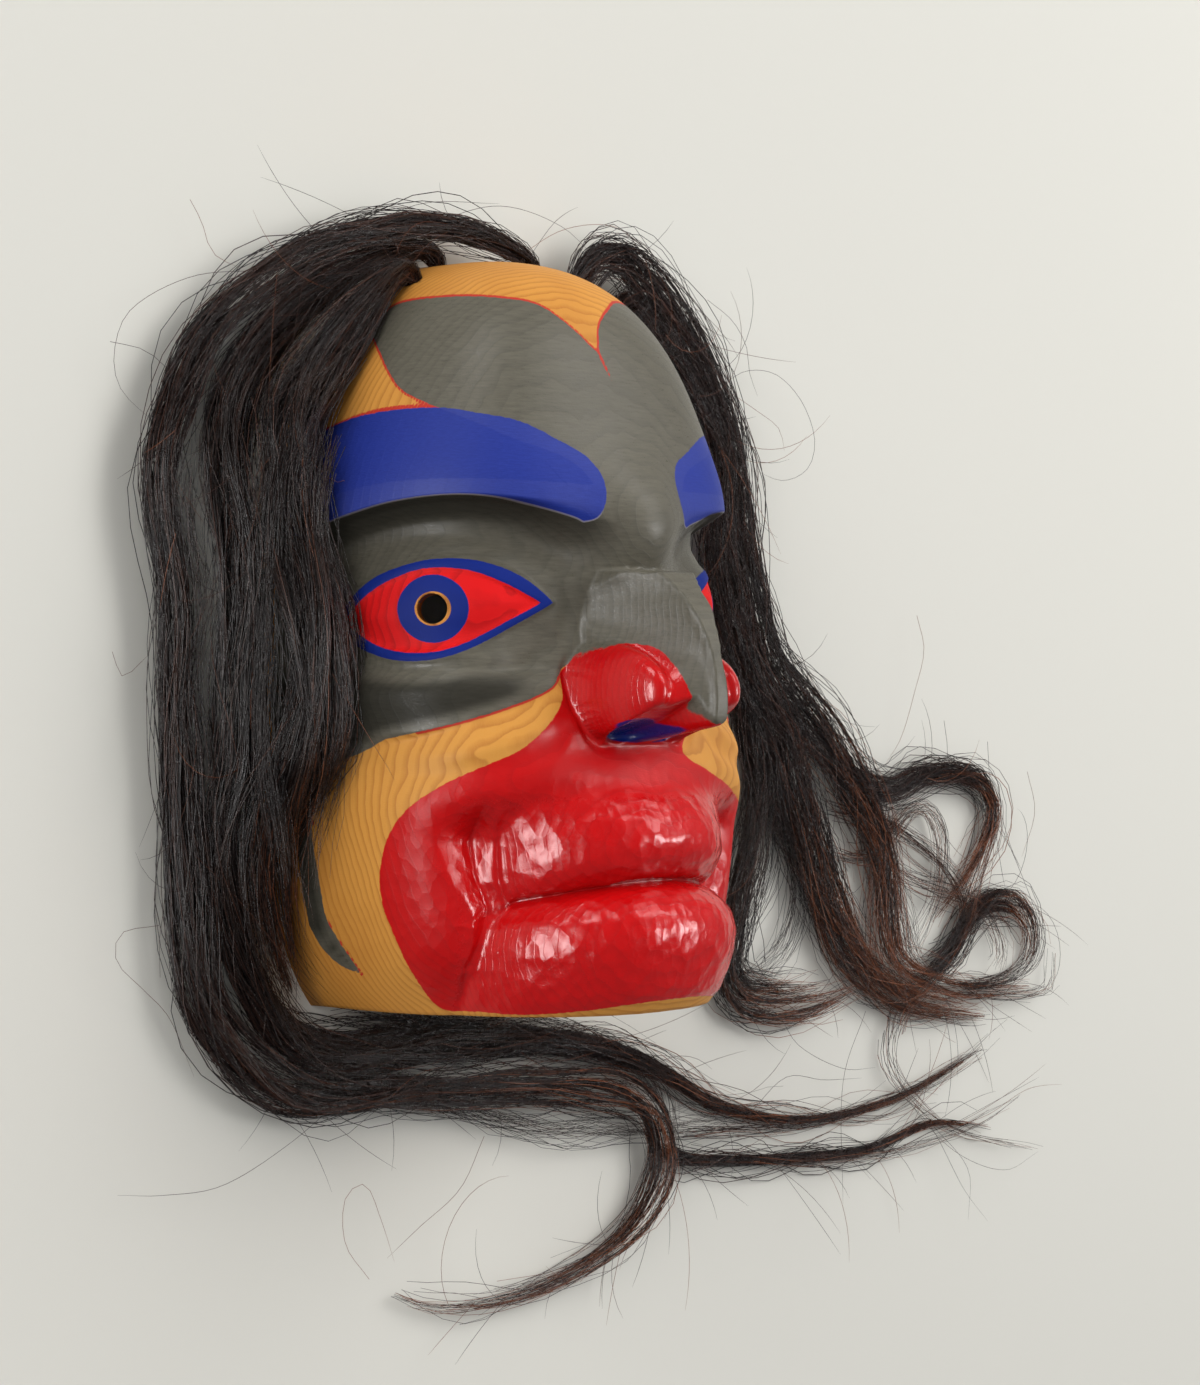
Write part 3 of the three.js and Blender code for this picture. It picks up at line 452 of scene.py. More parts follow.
def make_mask():
    columns_count, rows_low, rows_high = ((280, 132, 128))
    columns = spread(columns_count, -1, 1, lambda s: 1 + 0.7 * bell(np.abs(s) / 0.08)
                     + 0.5 * bell((np.abs(s) - 0.16) / 0.09))
    columns[0], columns[columns_count // 2], columns[-1] = -1, 0, 1
    low = spread(rows_low, -ROW_SHARE, 0, lambda t: 1 + 1.6 * bell((MIDDLE * (1 + t / ROW_SHARE) - 50.6) / 4)
                 + 0.8 * bell((MIDDLE * (1 + t / ROW_SHARE) - 106) / 12))
    high = spread(rows_high, 0, 1, lambda t: 1 + 1.2 * bell((t - 0.09) / 0.03)
                  + 1.2 * bell((t - BROW_ROW) / 0.035))
    rows = np.concatenate([low, high[1:]])
    s, t = np.meshgrid(columns, rows)
    t = guided(s, t)
    x, y, z, u = face(s, t)

    # Gouge and knife facets follow the surface
    top = np.stack([x, y, z], -1)
    du = np.gradient(top, axis=1)
    dv = np.gradient(top, axis=0)
    normal = np.cross(du, dv)
    normal /= np.linalg.norm(normal, axis=-1, keepdims=True) + 1e-12
    arc, climb = travelled(top, 1), travelled(top, 0)
    arc -= arc[:, columns_count // 2:columns_count // 2 + 1]
    facet = cells(arc, climb, FACET, 3.1, 0.8)
    small = cells(arc, climb, SMALL_FACET, 9.7, 0.7)
    red = np.where(u < 0, region(MUZZLE_LEFT, np.abs(u), y), region(MUZZLE_RIGHT, np.abs(u), y))
    strong = smooth(-1, 3, red) * smooth(96, 84, y)
    nosy = smooth(44, 34, np.abs(x)) * smooth(96, 104, y) * smooth(182, 170, y)
    calm = 0.06 + 0.2 * smooth(150, 120, y)
    polish = smooth(83, 74, np.abs(u)) * (1 - 0.75 * smooth(80, 87, y) * smooth(112, 104, y))
    depth = calm + (0.3 + 0.8 * polish - calm) * strong + 0.05 * nosy * (1 - strong)
    depth *= 0.62 * facet + 0.16 * small
    quiet = smooth(0, RIM_FADE, z) * (1 - 0.9 * smooth(-2, 1, region(EYE_LID, np.abs(u), y)))
    top = top + normal * ((depth - 0.2) * quiet)[..., None]
    top[:, 0, 2] = top[:, -1, 2] = top[-1, :, 2] = 0

    wide = len(columns)
    count = len(rows) * wide
    points = top.reshape(-1, 3).tolist()
    faces = []
    for i in range(len(rows) - 1):
        for j in range(wide - 1):
            k = i * wide + j
            faces.append((k, k + 1, k + wide + 1, k + wide))
    chin, back = count, count + 1
    points += [[0, 0, 0], [0, MIDDLE, 0]]
    last = (len(rows) - 1) * wide
    for j in range(wide - 1):
        faces.append((chin, j + 1, j))
        faces.append((back, last + j, last + j + 1))
    for i in range(len(rows) - 1):
        faces.append((back, i * wide, (i + 1) * wide))
        faces.append((back, (i + 2) * wide - 1, (i + 1) * wide - 1))
    faces += [(back, chin, 0), (back, wide - 1, chin)]
    block = new_mesh("mask_carved", points, faces)
    cut(block, hollow(), "hollow")
    for side in (-1, 1):
        cut(block, pupil(side), "pupil")
    for lock in LOCKS:
        cut(block, socket(*lock["socket"]), "socket")

    # Every vertex takes the paint of its place on the face
    tree = KDTree(count)
    flat = top.reshape(-1, 3)
    for i, point in enumerate(flat):
        tree.insert(point, i)
    tree.balance()
    mesh = block.data
    place = np.empty(len(mesh.vertices) * 3)
    mesh.vertices.foreach_get("co", place)
    place = (place.reshape(-1, 3) - SHIFT) / MM
    near = [tree.find(p) for p in place]
    index = np.array([n[1] for n in near])
    away = np.array([n[2] for n in near])
    u_flat, v_flat = u.ravel()[index], y.ravel()[index]
    paint(mesh, u_flat, v_flat, place, away)
    set_floats(mesh, "chips", np.maximum(strong, 0.35 * nosy).ravel()[index])
    set_floats(mesh, "polish", polish.ravel()[index])
    return block


def hollow():
    """The hollow behind the face, as a closed body that runs out past the back."""
    half, up, down, fan, rings = HALF_WIDTH - SIDE_WALL, 137, 136, 96, 30
    points = []
    for i in range(rings + 2):
        r = math.sin(min(i / rings, 1) * math.pi / 2)
        for j in range(fan):
            turn = 2 * math.pi * j / fan
            c, n = math.cos(turn), math.sin(turn)
            power = 2.2 if n > 0 else 4.5
            reach = ((abs(c) / half) ** power + (abs(n) / (up if n > 0 else down)) ** power) ** (-1 / power)
            x, y = reach * r * c, MIDDLE + reach * r * n
            lift = 2.6 + 1.4 * n * n
            arch = max(1 - r ** lift, 0) ** (1 / lift)
            front = 15 * float(bell(x / 32) * smooth(8, 38, y) * smooth(175, 135, y))
            z = (float(dome_depth(y)) - FRONT_WALL - 4 + front) * arch
            points.append([x, y, -5 if i > rings else z])
            if i == 0:
                break
    points.append([0, MIDDLE, -5])
    faces = []
    at = lambda ring, j: 1 + (ring - 1) * fan + j % fan
    for j in range(fan):
        faces.append((0, at(1, j), at(1, j + 1)))
        faces.append((len(points) - 1, at(rings + 1, j + 1), at(rings + 1, j)))
        for i in range(1, rings + 1):
            faces.append((at(i, j), at(i + 1, j), at(i + 1, j + 1), at(i, j + 1)))
    return new_mesh("hollow_cutter", points, faces)


def rod(name, centre, along, radius, length, sides):
    bm = bmesh.new()
    turn = Vector((0, 0, 1)).rotation_difference(Vector(along).normalized()).to_matrix().to_4x4()
    place = Matrix.Translation(Vector(centre) * MM + Vector(SHIFT)) @ turn
    bmesh.ops.create_cone(bm, cap_ends=True, segments=sides, radius1=radius * MM, radius2=radius * MM,
                          depth=length * MM, matrix=place)
    mesh = bpy.data.meshes.new(name)
    bm.to_mesh(mesh)
    bm.free()
    return put_object(name, mesh)


def pupil(side):
    turn = EYE_ACROSS / WRAP_RADIUS
    centre = (side * math.sin(turn) * EYE_DEPTH, EYE_UP, math.cos(turn) * EYE_DEPTH - WRAP_BACK)
    return rod("pupil_cutter", centre, (side * 0.77, 0, 0.63), PUPIL / 2, 64, 64)


def socket_at(x, level):
    share = abs(x) / HALF_WIDTH
    rise = (1 - share ** OUTLINE_POWER) ** (1 / OUTLINE_POWER)
    up = HEIGHT - MIDDLE
    lean = math.copysign(share ** (OUTLINE_POWER - 1) / HALF_WIDTH, x)
    out = Vector((lean, rise ** (OUTLINE_POWER - 1) / up, 0))
    return Vector((x, MIDDLE + up * rise, level)), out.normalized()


def socket(x, level):
    mouth, out = socket_at(x, level)
    return rod("socket_cutter", mouth + out * -1.5, out, SOCKET_RADIUS, SOCKET_LENGTH, 32)


def cut(obj, tool, word):
    modifier = obj.modifiers.new(word, "BOOLEAN")
    modifier.operation = "DIFFERENCE"
    modifier.solver = "EXACT"
    modifier.object = tool
    bpy.context.view_layer.objects.active = obj
    bpy.ops.object.modifier_apply(modifier=modifier.name)
    bpy.data.objects.remove(tool, do_unlink=True)


def paint(mesh, u, v, place, away):
    a = np.abs(u)
    x, z = place[:, 0], place[:, 2]
    forehead = np.maximum(region(FOREHEAD_LEFT, u, v), region(FOREHEAD_RIGHT, u, v))
    cheek = region(CHEEK_GREY, a, v)
    grey = np.maximum(forehead, cheek)
    red = np.where(u < 0, region(MUZZLE_LEFT, a, v), region(MUZZLE_RIGHT, a, v))
    line = np.full(len(a), -99.0)
    for pts in LINES:
        line = np.maximum(line, 0.95 - segments_distance(pts, a, v))
    for pts in FOREHEAD_LINES:
        line = np.maximum(line, 1.0 + 1.3 * bell((v - 251) / 7) - segments_distance(pts, u, v))
    # Painted shade: a dark line along the groove between the lips
    mouth = bell((v + mouth_droop(np.abs(x)) - 50.4) / 1.25) * smooth(70, 60, np.abs(x)) * (z > 60)
    iris = 13 - np.hypot(a - EYE_ACROSS, v - EYE_UP)
    bare = np.where(away > 1.6, 1.0, 0.0)
    lid = region(EYE_LID, a, v)
    # Painted shade: the grey is darkened, and its gloss lowered, in the hollow under the lower lid and in the
    # cove under the brow
    painted_shade = smooth(1, 6, cheek) * smooth(-5, -11, lid) * smooth(134, 126, v) * smooth(46, 60, a)
    below = brow_edge(a) - v
    under = (0.3 + 0.6 * smooth(16, 3, below)) * smooth(-1, 0.5, below)
    painted_shade = np.maximum(painted_shade, under * smooth(12, 30, a) * smooth(148, 158, v))
    for name, values in (("grey", grey), ("red", red), ("line", line), ("brow", region(BROW, a, v)),
                         ("lid", lid), ("painted_shade", painted_shade), ("ball", region(EYE_BALL, a, v)), ("iris", iris),
                         ("nostril", region(NOSTRIL_BLUE, a, v)), ("bare", bare), ("mouth", mouth)):
        set_floats(mesh, name, values)


# Hair, in millimetres. Each lock follows lines of (x, y, z, radius), as its solid does.
LOCK_SEED, LOOSE_SEED = 40, 7
STRAND_RADII, WISP_RADII, WISP_TIP, LOOSE_RADIUS = (0.13, 0.21), (0.12, 0.17), 0.07, 0.115
STEP_TURN, STEP_LENGTHS = 0.26, (6.0, 12.5)
STEP_TRIANGLES, MEAN_REACH, FORK_SHARE = 6, 0.86, 0.55
CLUMP_TURN, FULL_TURN = 2.4, 6.283
FLOOR_GAP = 0.6
HEAD_SIDE, HEAD_LOW, HEAD_HIGH = 124, -6, 308
ROOM_LOW, ROOM_HIGH = (-186, -150, -50), (452, 334, 150)
WOOD_NEAR, WOOD_GAP = 0.0006, 0.0007  # in metres
LOCKS = [
    dict(name="hair_lock_left_outer", socket=(36, 14), triangles=172000, spread=(1.0, 1.05),
         slim=(1.0, 0.5), flat=0.7, tight=0.75, clumps=10, stray=0.1, brown=0.1, lines=[
        [(32, 304.6, 15, 4), (8, 310.6, 16, 5), (-18, 313, 16, 5.8), (-50, 310, 16, 7), (-96, 295, 14, 8),
         (-141, 262, 12, 6.5), (-159, 228, 12, 6.2), (-165, 203, 12, 6.6), (-162, 180, 12, 7.2),
         (-157, 152, 12, 9), (-156, 112, 11, 10), (-151, 62, 10, 9), (-140, 4, 10, 9), (-98, -31, 10, 9),
         (-10, -39, 9.5, 8.6), (70, -46, 9, 8), (114, -60, 8.5, 7.6), (124, -88, 8, 7), (98, -116, 7, 6),
         (44, -130, 5.5, 4.6), (-14, -128, 4, 3.2), (-42, -118, 2.6, 1.8)],
        [(118, -76, 8, 4.6), (142, -85, 6.5, 4.4), (180, -91, 5, 3.6), (230, -96, 4, 3),
         (285, -98, 3.4, 2.6), (340, -91, 3, 2.2), (396, -101, 2.4, 1.5)]]),
    dict(name="hair_lock_left_middle", socket=(-16, 8.5), triangles=180000, spread=(1.05, 1.15),
         slim=(0.7, 0.45), flat=0.8, tight=0.9, clumps=13, stray=0.13, brown=0.1, lines=[
        [(-20, 304.2, 8.5, 4), (-34, 303.6, 8.5, 4.6), (-52, 297, 9, 5.5), (-84, 280, 10, 8),
         (-116, 254, 12, 10), (-132, 228, 14.5, 11.2), (-136, 205, 17.5, 12), (-135.5, 187, 20, 12.3),
         (-134, 158, 23.5, 12.8), (-132, 132, 23, 12.5), (-131, 98, 21, 11.8), (-133, 78, 16, 10.5),
         (-131, 56, 12.5, 9.8), (-118, 14, 10, 8.6), (-88, -14, 9.5, 8), (0, -19.5, 9, 7.5),
         (70, -27, 8, 6.5), (126, -44, 6.5, 5), (170, -65, 5, 4), (234, -78, 4, 3), (304, -76, 3.2, 2.4),
         (384, -58, 2.4, 1.6)]]),
    dict(name="hair_lock_left_inner", socket=(-46, 24), triangles=150000, spread=(1.2, 1.2), flat=0.9,
         tight=1.1, clumps=13, stray=0.14, brown=0.0, lines=[
        [(-50.5, 292.5, 25, 4), (-65, 285, 28, 5.2), (-86, 266, 30, 7.4), (-101, 245, 28.5, 9),
         (-113, 228, 29, 10.2), (-116, 205, 31.5, 10), (-117, 187, 36, 10.3), (-117, 158, 46, 12.5),
         (-118, 132, 47, 12.6), (-117.5, 100, 43, 11.8), (-115.5, 79, 29, 10.2), (-113.5, 58, 19, 7.9),
         (-107, 36, 14, 6.8), (-98, 15, 9, 5), (-93, 6, 6, 2.6)]]),
    dict(name="hair_lock_right_outer", socket=(54, 14), triangles=118000, spread=(1.05, 1.4), flat=0.4,
         tight=0.65, clumps=11, stray=0.4, brown=0.5, lines=[
        [(60, 299, 15, 4.4), (72, 311, 16, 5.6), (90, 313.5, 16, 6.8), (108, 306, 15, 7.6),
         (127.3, 292, 13, 8), (150.8, 268, 12, 8), (164.8, 246.5, 12, 8), (172.2, 224.3, 12, 8),
         (178.3, 188, 11, 8), (196.2, 144.8, 11, 8.4), (217.7, 121, 10.5, 8.6), (251, 94.8, 10, 8.6),
         (276, 70, 9, 8), (291, 40, 8.5, 7.4), (296, 12, 8.5, 7), (304, -6, 8, 6.6), (335, -19, 6.8, 5.6),
         (389, -27, 5, 3.8), (430, -31, 3, 2)],
        [(251, 94.8, 9.5, 5.5), (272, 82, 9, 6), (298, 76, 8.5, 6), (322, 82, 8, 5.6), (346, 84, 7.5, 5.2),
         (372, 80, 7, 5), (386, 68, 6.5, 4.6), (384, 53, 6, 4.4), (372, 37, 5.5, 4), (352, 20, 4.5, 3),
         (336, 8, 3.2, 2.2)],
        [(322, -14, 6.5, 4.6), (346, -6, 6.5, 4.8), (362, 10, 6.5, 4.8), (382, 19, 6, 4.8),
         (404, 17, 6, 4.6), (420, 5, 5.5, 4.2), (424, -9, 4.5, 3.4), (414, -21, 3, 2)]]),
    dict(name="hair_lock_right_inner", socket=(77, 14), triangles=122000, spread=(1.05, 1.5), flat=0.4,
         tight=0.65, clumps=11, stray=0.4, brown=0.25, lines=[
        [(84, 268, 14, 4.4), (87, 283, 13.5, 5.2), (96, 293, 13, 5.8), (108, 286, 12.5, 6.4),
         (122, 273.5, 12, 6.8), (138.6, 257.9, 12, 7), (150.6, 239.6, 12, 7), (156.8, 221, 11.5, 7),
         (162, 184, 11, 7.8), (181, 135.5, 10.5, 8.8), (206, 107.6, 10, 8.6), (217, 83, 9.5, 8.6),
         (230, 52, 9, 8.4), (243, 27, 8.5, 7.8), (260, 4, 8, 7), (283, -14, 7, 5.8), (312, -27, 6, 5),
         (350, -36, 4.5, 3.6), (392, -43, 3, 2)],
        [(181, 135.5, 10, 7), (188, 108, 9.5, 7.5), (194, 84, 9, 8), (188, 54, 8.5, 8), (181, 32, 8, 7.6),
         (175, 10, 8, 7.2), (174, -4, 7.5, 6.6), (185, -15.5, 7.5, 6.2), (212, -19.5, 7, 5.8),
         (245, -18.5, 7, 5.4), (270, -13, 7, 5)]]),
]


def dense_line(line):
    """Even steps along the smooth curve through a lock's points: places, radii and length so far."""
    pts = np.array(line, float)
    gaps = lambda run: np.linalg.norm(np.diff(run[:, :3], axis=0), axis=1)
    keys = running_sum(np.sqrt(gaps(pts)))
    fine = np.linspace(0, keys[-1], 600)
    out = np.stack([curve(list(zip(keys, pts[:, k])), fine) for k in range(4)], 1)
    return out[:, :3], out[:, 3], running_sum(gaps(out))


def frames(points):
    along = np.gradient(points, axis=0)
    along /= np.linalg.norm(along, axis=1, keepdims=True) + 1e-12
    side = np.cross(along, [0, 0, 1.0])
    side /= np.linalg.norm(side, axis=1, keepdims=True) + 1e-12
    return along, side, np.cross(side, along)


def stations(points, length):
    """A count that grows along a line, faster where it curls: the whole numbers are a strand's steps."""
    along = frames(points)[0]
    turning = np.linalg.norm(np.gradient(along, axis=0), axis=1) / np.gradient(length)
    step = np.clip(STEP_TURN / (turning + 1e-6), *STEP_LENGTHS) * 1.0
    return running_sum(np.diff(length) / ((step[1:] + step[:-1]) / 2))


def beside(at, length, points, side, lift, across, up):
    """Places along a line, moved across and up from it."""
    line, side, lift = (np.stack([np.interp(at, length, way[:, k]) for k in range(3)], 1)
                        for way in (points, side, lift))
    return line + across[:, None] * side + up[:, None] * lift


def wave(rng, at, parts):
    """A smooth random wander along a length."""
    out = np.zeros(len(at))
    for wavelength, share in parts:
        stretch = rng.uniform(0.75, 1.35)
        out += share * np.sin(2 * math.pi * at / (wavelength * stretch) + rng.uniform(0, FULL_TURN))
    return out


class Strands:
    """Many thin three-sided tubes, gathered into one mesh."""

    def __init__(self):
        self.points, self.faces, self.tints, self.count = [], [], [], 0

    def add(self, places, radii, tints):
        _, side, lift = frames(places)
        turn = np.arange(3) * 2 * math.pi / 3 + 0.5
        round_side = np.cos(turn)[None, :, None] * side[:, None] + np.sin(turn)[None, :, None] * lift[:, None]
        self.points.append((places[:, None] + radii[:, None, None] * round_side).reshape(-1, 3))
        self.tints.append(np.repeat(np.broadcast_to(tints, len(places)), 3))
        first = self.count + 3 * np.arange(len(places) - 1)[:, None]
        j = np.arange(3)[None]
        n = (j + 1) % 3
        self.faces.append(np.stack([first + j, first + 3 + j, first + 3 + n, first + n], -1).reshape(-1, 4))
        self.count += 3 * len(places)

    def object(self, name):
        obj = new_mesh(name, np.vstack(self.points), np.vstack(self.faces).tolist())
        set_floats(obj.data, "tint", np.concatenate(self.tints))
        return obj


def make_lock(lock, seed, mask_tree):
    """Fills a lock's line with strands, gathered in clumps that wander past each other."""
    rng = np.random.default_rng(seed)
    strands = Strands()
    start, thin = lock.get("slim", (1, 1))
    early = 0.42 if "slim" in lock else 0.25
    mouth, out = socket_at(*lock["socket"])
    lines = []
    for which, line in enumerate(lock["lines"]):
        if which == 0:
            line = [(*(mouth - out * 8), 3.0), (*(mouth + out * 1), 3.4)] + line
        lines.append(dense_line(line))
    weights = [length[-1] * (FORK_SHARE if which else 1.0) for which, (_, _, length) in enumerate(lines)]
    for which, (points, radii, length) in enumerate(lines):
        _, side, lift = frames(points)
        count_at = stations(points, length)
        ends = length[-1]
        budget = lock["triangles"] * weights[which] / sum(weights) * 1.0
        total = int(budget / (STEP_TRIANGLES * count_at[-1] * MEAN_REACH))
        clumps = lock["clumps"] if which == 0 else 6
        widths = rng.uniform(0.5, 1.5, clumps)
        widths /= widths.sum()
        for c in range(clumps):
            rho = math.sqrt((c + 0.5) / clumps)
            theta = CLUMP_TURN * c + rng.uniform(-0.5, 0.5)
            twist = rng.uniform(-1.5, 1.5)
            tight = lock["tight"] * rng.uniform(0.7, 1.3)
            sway = 0.3 * wave(rng, length, [(190, 1.0), (90, 0.45)])
            heave = 0.2 * wave(rng, length, [(170, 1.0), (80, 0.4)])
            breath = 1 + 0.35 * wave(rng, length, [(160, 1.0)])
            shorter = 0.3 * rng.uniform() ** 2
            begin = 0 if which == 0 else rng.uniform(0, 0.1) * ends
            for _ in range(max(int(total * widths[c]), 2)):
                stray = rng.uniform() < lock["stray"]
                stop = ends * (1 - shorter) * (1 - early * rng.uniform() ** 2)
                low, high = np.interp([begin + rng.uniform(0, 8), stop], length, count_at)
                at = np.interp(np.linspace(low, high, max(int(high - low), 5)), count_at, length)
                grow = smooth(0, 70, at) if which == 0 else np.ones(len(at))
                share = at / ends
                spread = mix(*lock["spread"], smooth(0.2, 0.6, share))
                r = np.interp(at, length, radii)
                r = r * (thin if which else mix(1, thin, smooth(start - 0.1, start + 0.1, share)))
                turn = theta + twist * share
                own, own_turn = rng.normal() * 0.5, rng.uniform(0, FULL_TURN)
                bundle = tight * mix(1.1, 2.6, grow) * np.interp(at, length, breath)
                bundle = np.minimum(bundle * (1 + 1.1 * smooth(0.7, 1, share)), 0.6 * r)
                loose = rng.uniform(4, 9) if stray else rng.uniform(0.5, 1.1)
                waves = [(210, 1.0), (100, 0.35)] if stray else [(120, 1.0), (62, 0.4)]
                across = r * spread * 0.85 * (rho * np.cos(turn) + grow * np.interp(at, length, sway))
                across += bundle * own * np.cos(own_turn) + grow * loose * wave(rng, at, waves)
                up = r * lock["flat"] * (rho * np.sin(turn) + grow * np.interp(at, length, heave))
                up += bundle * own * np.sin(own_turn) + grow * 0.6 * loose * wave(rng, at, waves)
                places = beside(at, length, points, side, lift, across, up)
                settle(places, at > 14, mask_tree)
                to_tip = 1 - (at - at[0]) / (at[-1] - at[0])
                thick = rng.uniform(*STRAND_RADII) * np.minimum(1, 0.45 + 2.5 * to_tip)
                tint = rng.uniform() * 0.92 + 0.25 * smooth(0.55, 1, share)
                tint = tint + lock["brown"] * smooth(0.45, 0.85, share)
                strands.add(places, thick, np.clip(tint, 0, 1))
    return strands.object(lock["name"] + "_strands")


def settle(places, movable, mask_tree):
    """Keeps a hair above the floor and outside the wood."""
    low = places[:, 2] < FLOOR_GAP
    places[low, 2] = FLOOR_GAP + 0.25 * np.abs(np.sin(places[low, 0] * 0.7 + places[low, 1] * 1.3))
    x, y = places[:, 0], places[:, 1]
    near = movable & (np.abs(x) < HEAD_SIDE) & (y > HEAD_LOW) & (y < HEAD_HIGH)
    for i in np.flatnonzero(near):
        here = Vector(places[i] * MM + SHIFT)
        spot, normal, _, _ = mask_tree.find_nearest(here)
        if (here - spot).dot(normal) < WOOD_NEAR:
            places[i] = (np.array(spot + normal * WOOD_GAP) - SHIFT) / MM
            places[i, 2] = max(places[i, 2], FLOOR_GAP)


# The longest loose hairs, as points along each on the floor
LOOSE_HAIRS = [
    [(-147, 310), (-141, 302), (-139, 296), (-134, 290), (-123, 287)],
    [(-112, 287), (-146, 281), (-175, 266), (-183, 250), (-180, 236), (-163, 224)],
    [(-185, 253), (-168, 251), (-153, 242)],
    [(-184, 139), (-179, 130), (-167, 138)],
    [(-198, 104), (-191, 87), (-172, 77)],
    [(-162, 37), (-180, 35), (-182, 25), (-170, 14), (-157, 2), (-145, -21)],
    [(-67, -36), (-97, -52), (-131, -64), (-161, -64), (-189, -61), (-207, -66)],
    [(12, -61), (-2, -81), (-26, -94), (-44, -104)],
    [(-54, -111), (-67, -95), (-67, -77), (-56, -73), (-47, -89), (-40, -106)],
    [(157, 302), (175, 294), (185, 283), (187, 272), (193, 261)],
    [(167, 264), (185, 272), (207, 272), (226, 261), (236, 244), (231, 230), (212, 223), (190, 227)],
    [(171, 262), (193, 254), (209, 247), (213, 237)],
    [(318, 162), (324, 145), (316, 124), (305, 102), (292, 89)],
    [(341, 110), (344, 95), (341, 83)],
    [(379, 99), (381, 78)],
    [(415, 83), (422, 62), (410, 39)],
    [(425, 3), (464, -2), (492, -17), (504, -35)],
    [(209, -26), (224, -42), (258, -56), (284, -58)],
    [(276, -30), (258, -63), (258, -121)],
    [(186, -71), (214, -56), (243, -60), (273, -62)],
    [(337, -95), (379, -91), (422, -81), (495, -88)],
    [(318, -30), (299, -44), (302, -65), (326, -90), (358, -110), (396, -121), (425, -115)],
    [(322, -30), (303, -44), (304, -66), (330, -90), (362, -117), (362, -142)],
    [(314, -30), (295, -45), (298, -66), (331, -93), (358, -126), (379, -145)],
    [(-20, 316), (21, 328), (59, 324), (84, 311)],
    [(28, 305), (59, 322), (91, 328), (111, 322)],
    [(-67, 304), (-26, 323), (21, 329)],
    [(37, 306), (59, 328), (84, 336), (117, 328)],
]


# Thin bundles combed out of the locks: hairs, spread, brownness, height and the line on the floor
WISPS = [
    (26, 4, 1.0, 7, [(294, 70), (289, 53), (285, 31), (283, 10), (289, -10), (305, -22)]),
    (26, 3, 1.0, 7, [(300, -49), (307, -33), (322, -25), (339, -15), (358, 3), (367, 23), (377, 40),
     (386, 58), (381, 76), (362, 82), (339, 82), (316, 80)]),
    (40, 4, 0.8, 7, [(245, 71), (269, 66), (298, 59), (327, 47), (350, 33), (362, 17), (358, -1),
     (342, -16), (327, -23)]),
    (34, 4, 0.8, 7, [(252, 50), (276, 45), (294, 52), (312, 65), (327, 67), (339, 57), (342, 42), (337, 22),
     (324, 5), (312, -7)]),
    (46, 7, 0.5, 7, [(214, 113), (245, 96), (269, 79), (283, 57), (294, 35), (305, 13), (312, -5),
     (327, -19), (358, -28)]),
    (36, 5, 0.2, 7, [(182, 112), (195, 89), (204, 68), (206, 47), (198, 29), (185, 12), (182, 0),
     (198, -10), (221, -13)]),
    (36, 6, 0.2, 7, [(188, 89), (211, 64), (223, 43), (224, 22), (214, 4), (195, -7), (185, -11)]),
    (46, 8, 0.4, 7, [(195, 81), (218, 59), (238, 38), (248, 16), (269, -4), (294, -19), (327, -30)]),
    (34, 3, 0.6, 7, [(342, -21), (373, -25), (401, -23), (419, -16), (425, -3), (417, 11), (399, 19),
     (381, 20), (375, 14), (377, 2)]),
    (16, 3, 0.8, 7, [(350, -29), (381, -30), (413, -33), (438, -30), (440, -18), (442, -6)]),
    (30, 5, 1.0, 7, [(294, 52), (305, 39), (327, 29), (358, 21), (381, 9), (393, -10), (381, -23)]),
    (60, 6, 0.3, 7, [(-75, -1), (-8, -13), (59, -22), (111, -39), (130, -63), (121, -88)]),
    (40, 7, 0.4, 7, [(-127, 6), (-91, -21), (-25, -42), (46, -62), (97, -68), (152, -73), (225, -74)]),
    (12, 2, 1.0, 7, [(300, -29), (296, -55), (317, -76), (359, -98), (432, -115)]),
    (18, 3, 0.8, 7, [(124, -73), (195, -78), (272, -78), (346, -66), (399, -45)]),
    (12, 2, 0.9, 7, [(152, -83), (248, -99), (346, -98), (427, -81)]),
    (44, 6, 0.2, 48, [(-108, 223), (-116, 204), (-118, 185), (-112, 168), (-103, 155), (-101, 136),
     (-102, 113), (-108, 91), (-116, 72)]),
    (36, 7, 0.1, 44, [(-97, 258), (-118, 226), (-125, 196), (-115, 170), (-101, 150), (-97, 121),
     (-103, 94)]),
    (30, 9, 0.3, 44, [(-124, 207), (-113, 174), (-101, 144), (-106, 106), (-115, 76), (-121, 46)]),
    (24, 7, 0.4, 20, [(-133, 144), (-122, 113), (-128, 83), (-116, 52), (-107, 25), (-86, 4)]),
    (110, 3.6, 0.1, 37, [(-120, 222), (-128, 205), (-131.5, 189), (-132, 173.5), (-133, 158.5),
     (-133.6, 139.7), (-134.6, 121), (-134.6, 106), (-132.6, 91), (-128, 70), (-124, 50)]),
    (26, 6, 0.2, 18, [(-148, 226), (-155, 188), (-148, 158), (-155, 121), (-146, 83), (-136, 45),
     (-120, 14)]),
]


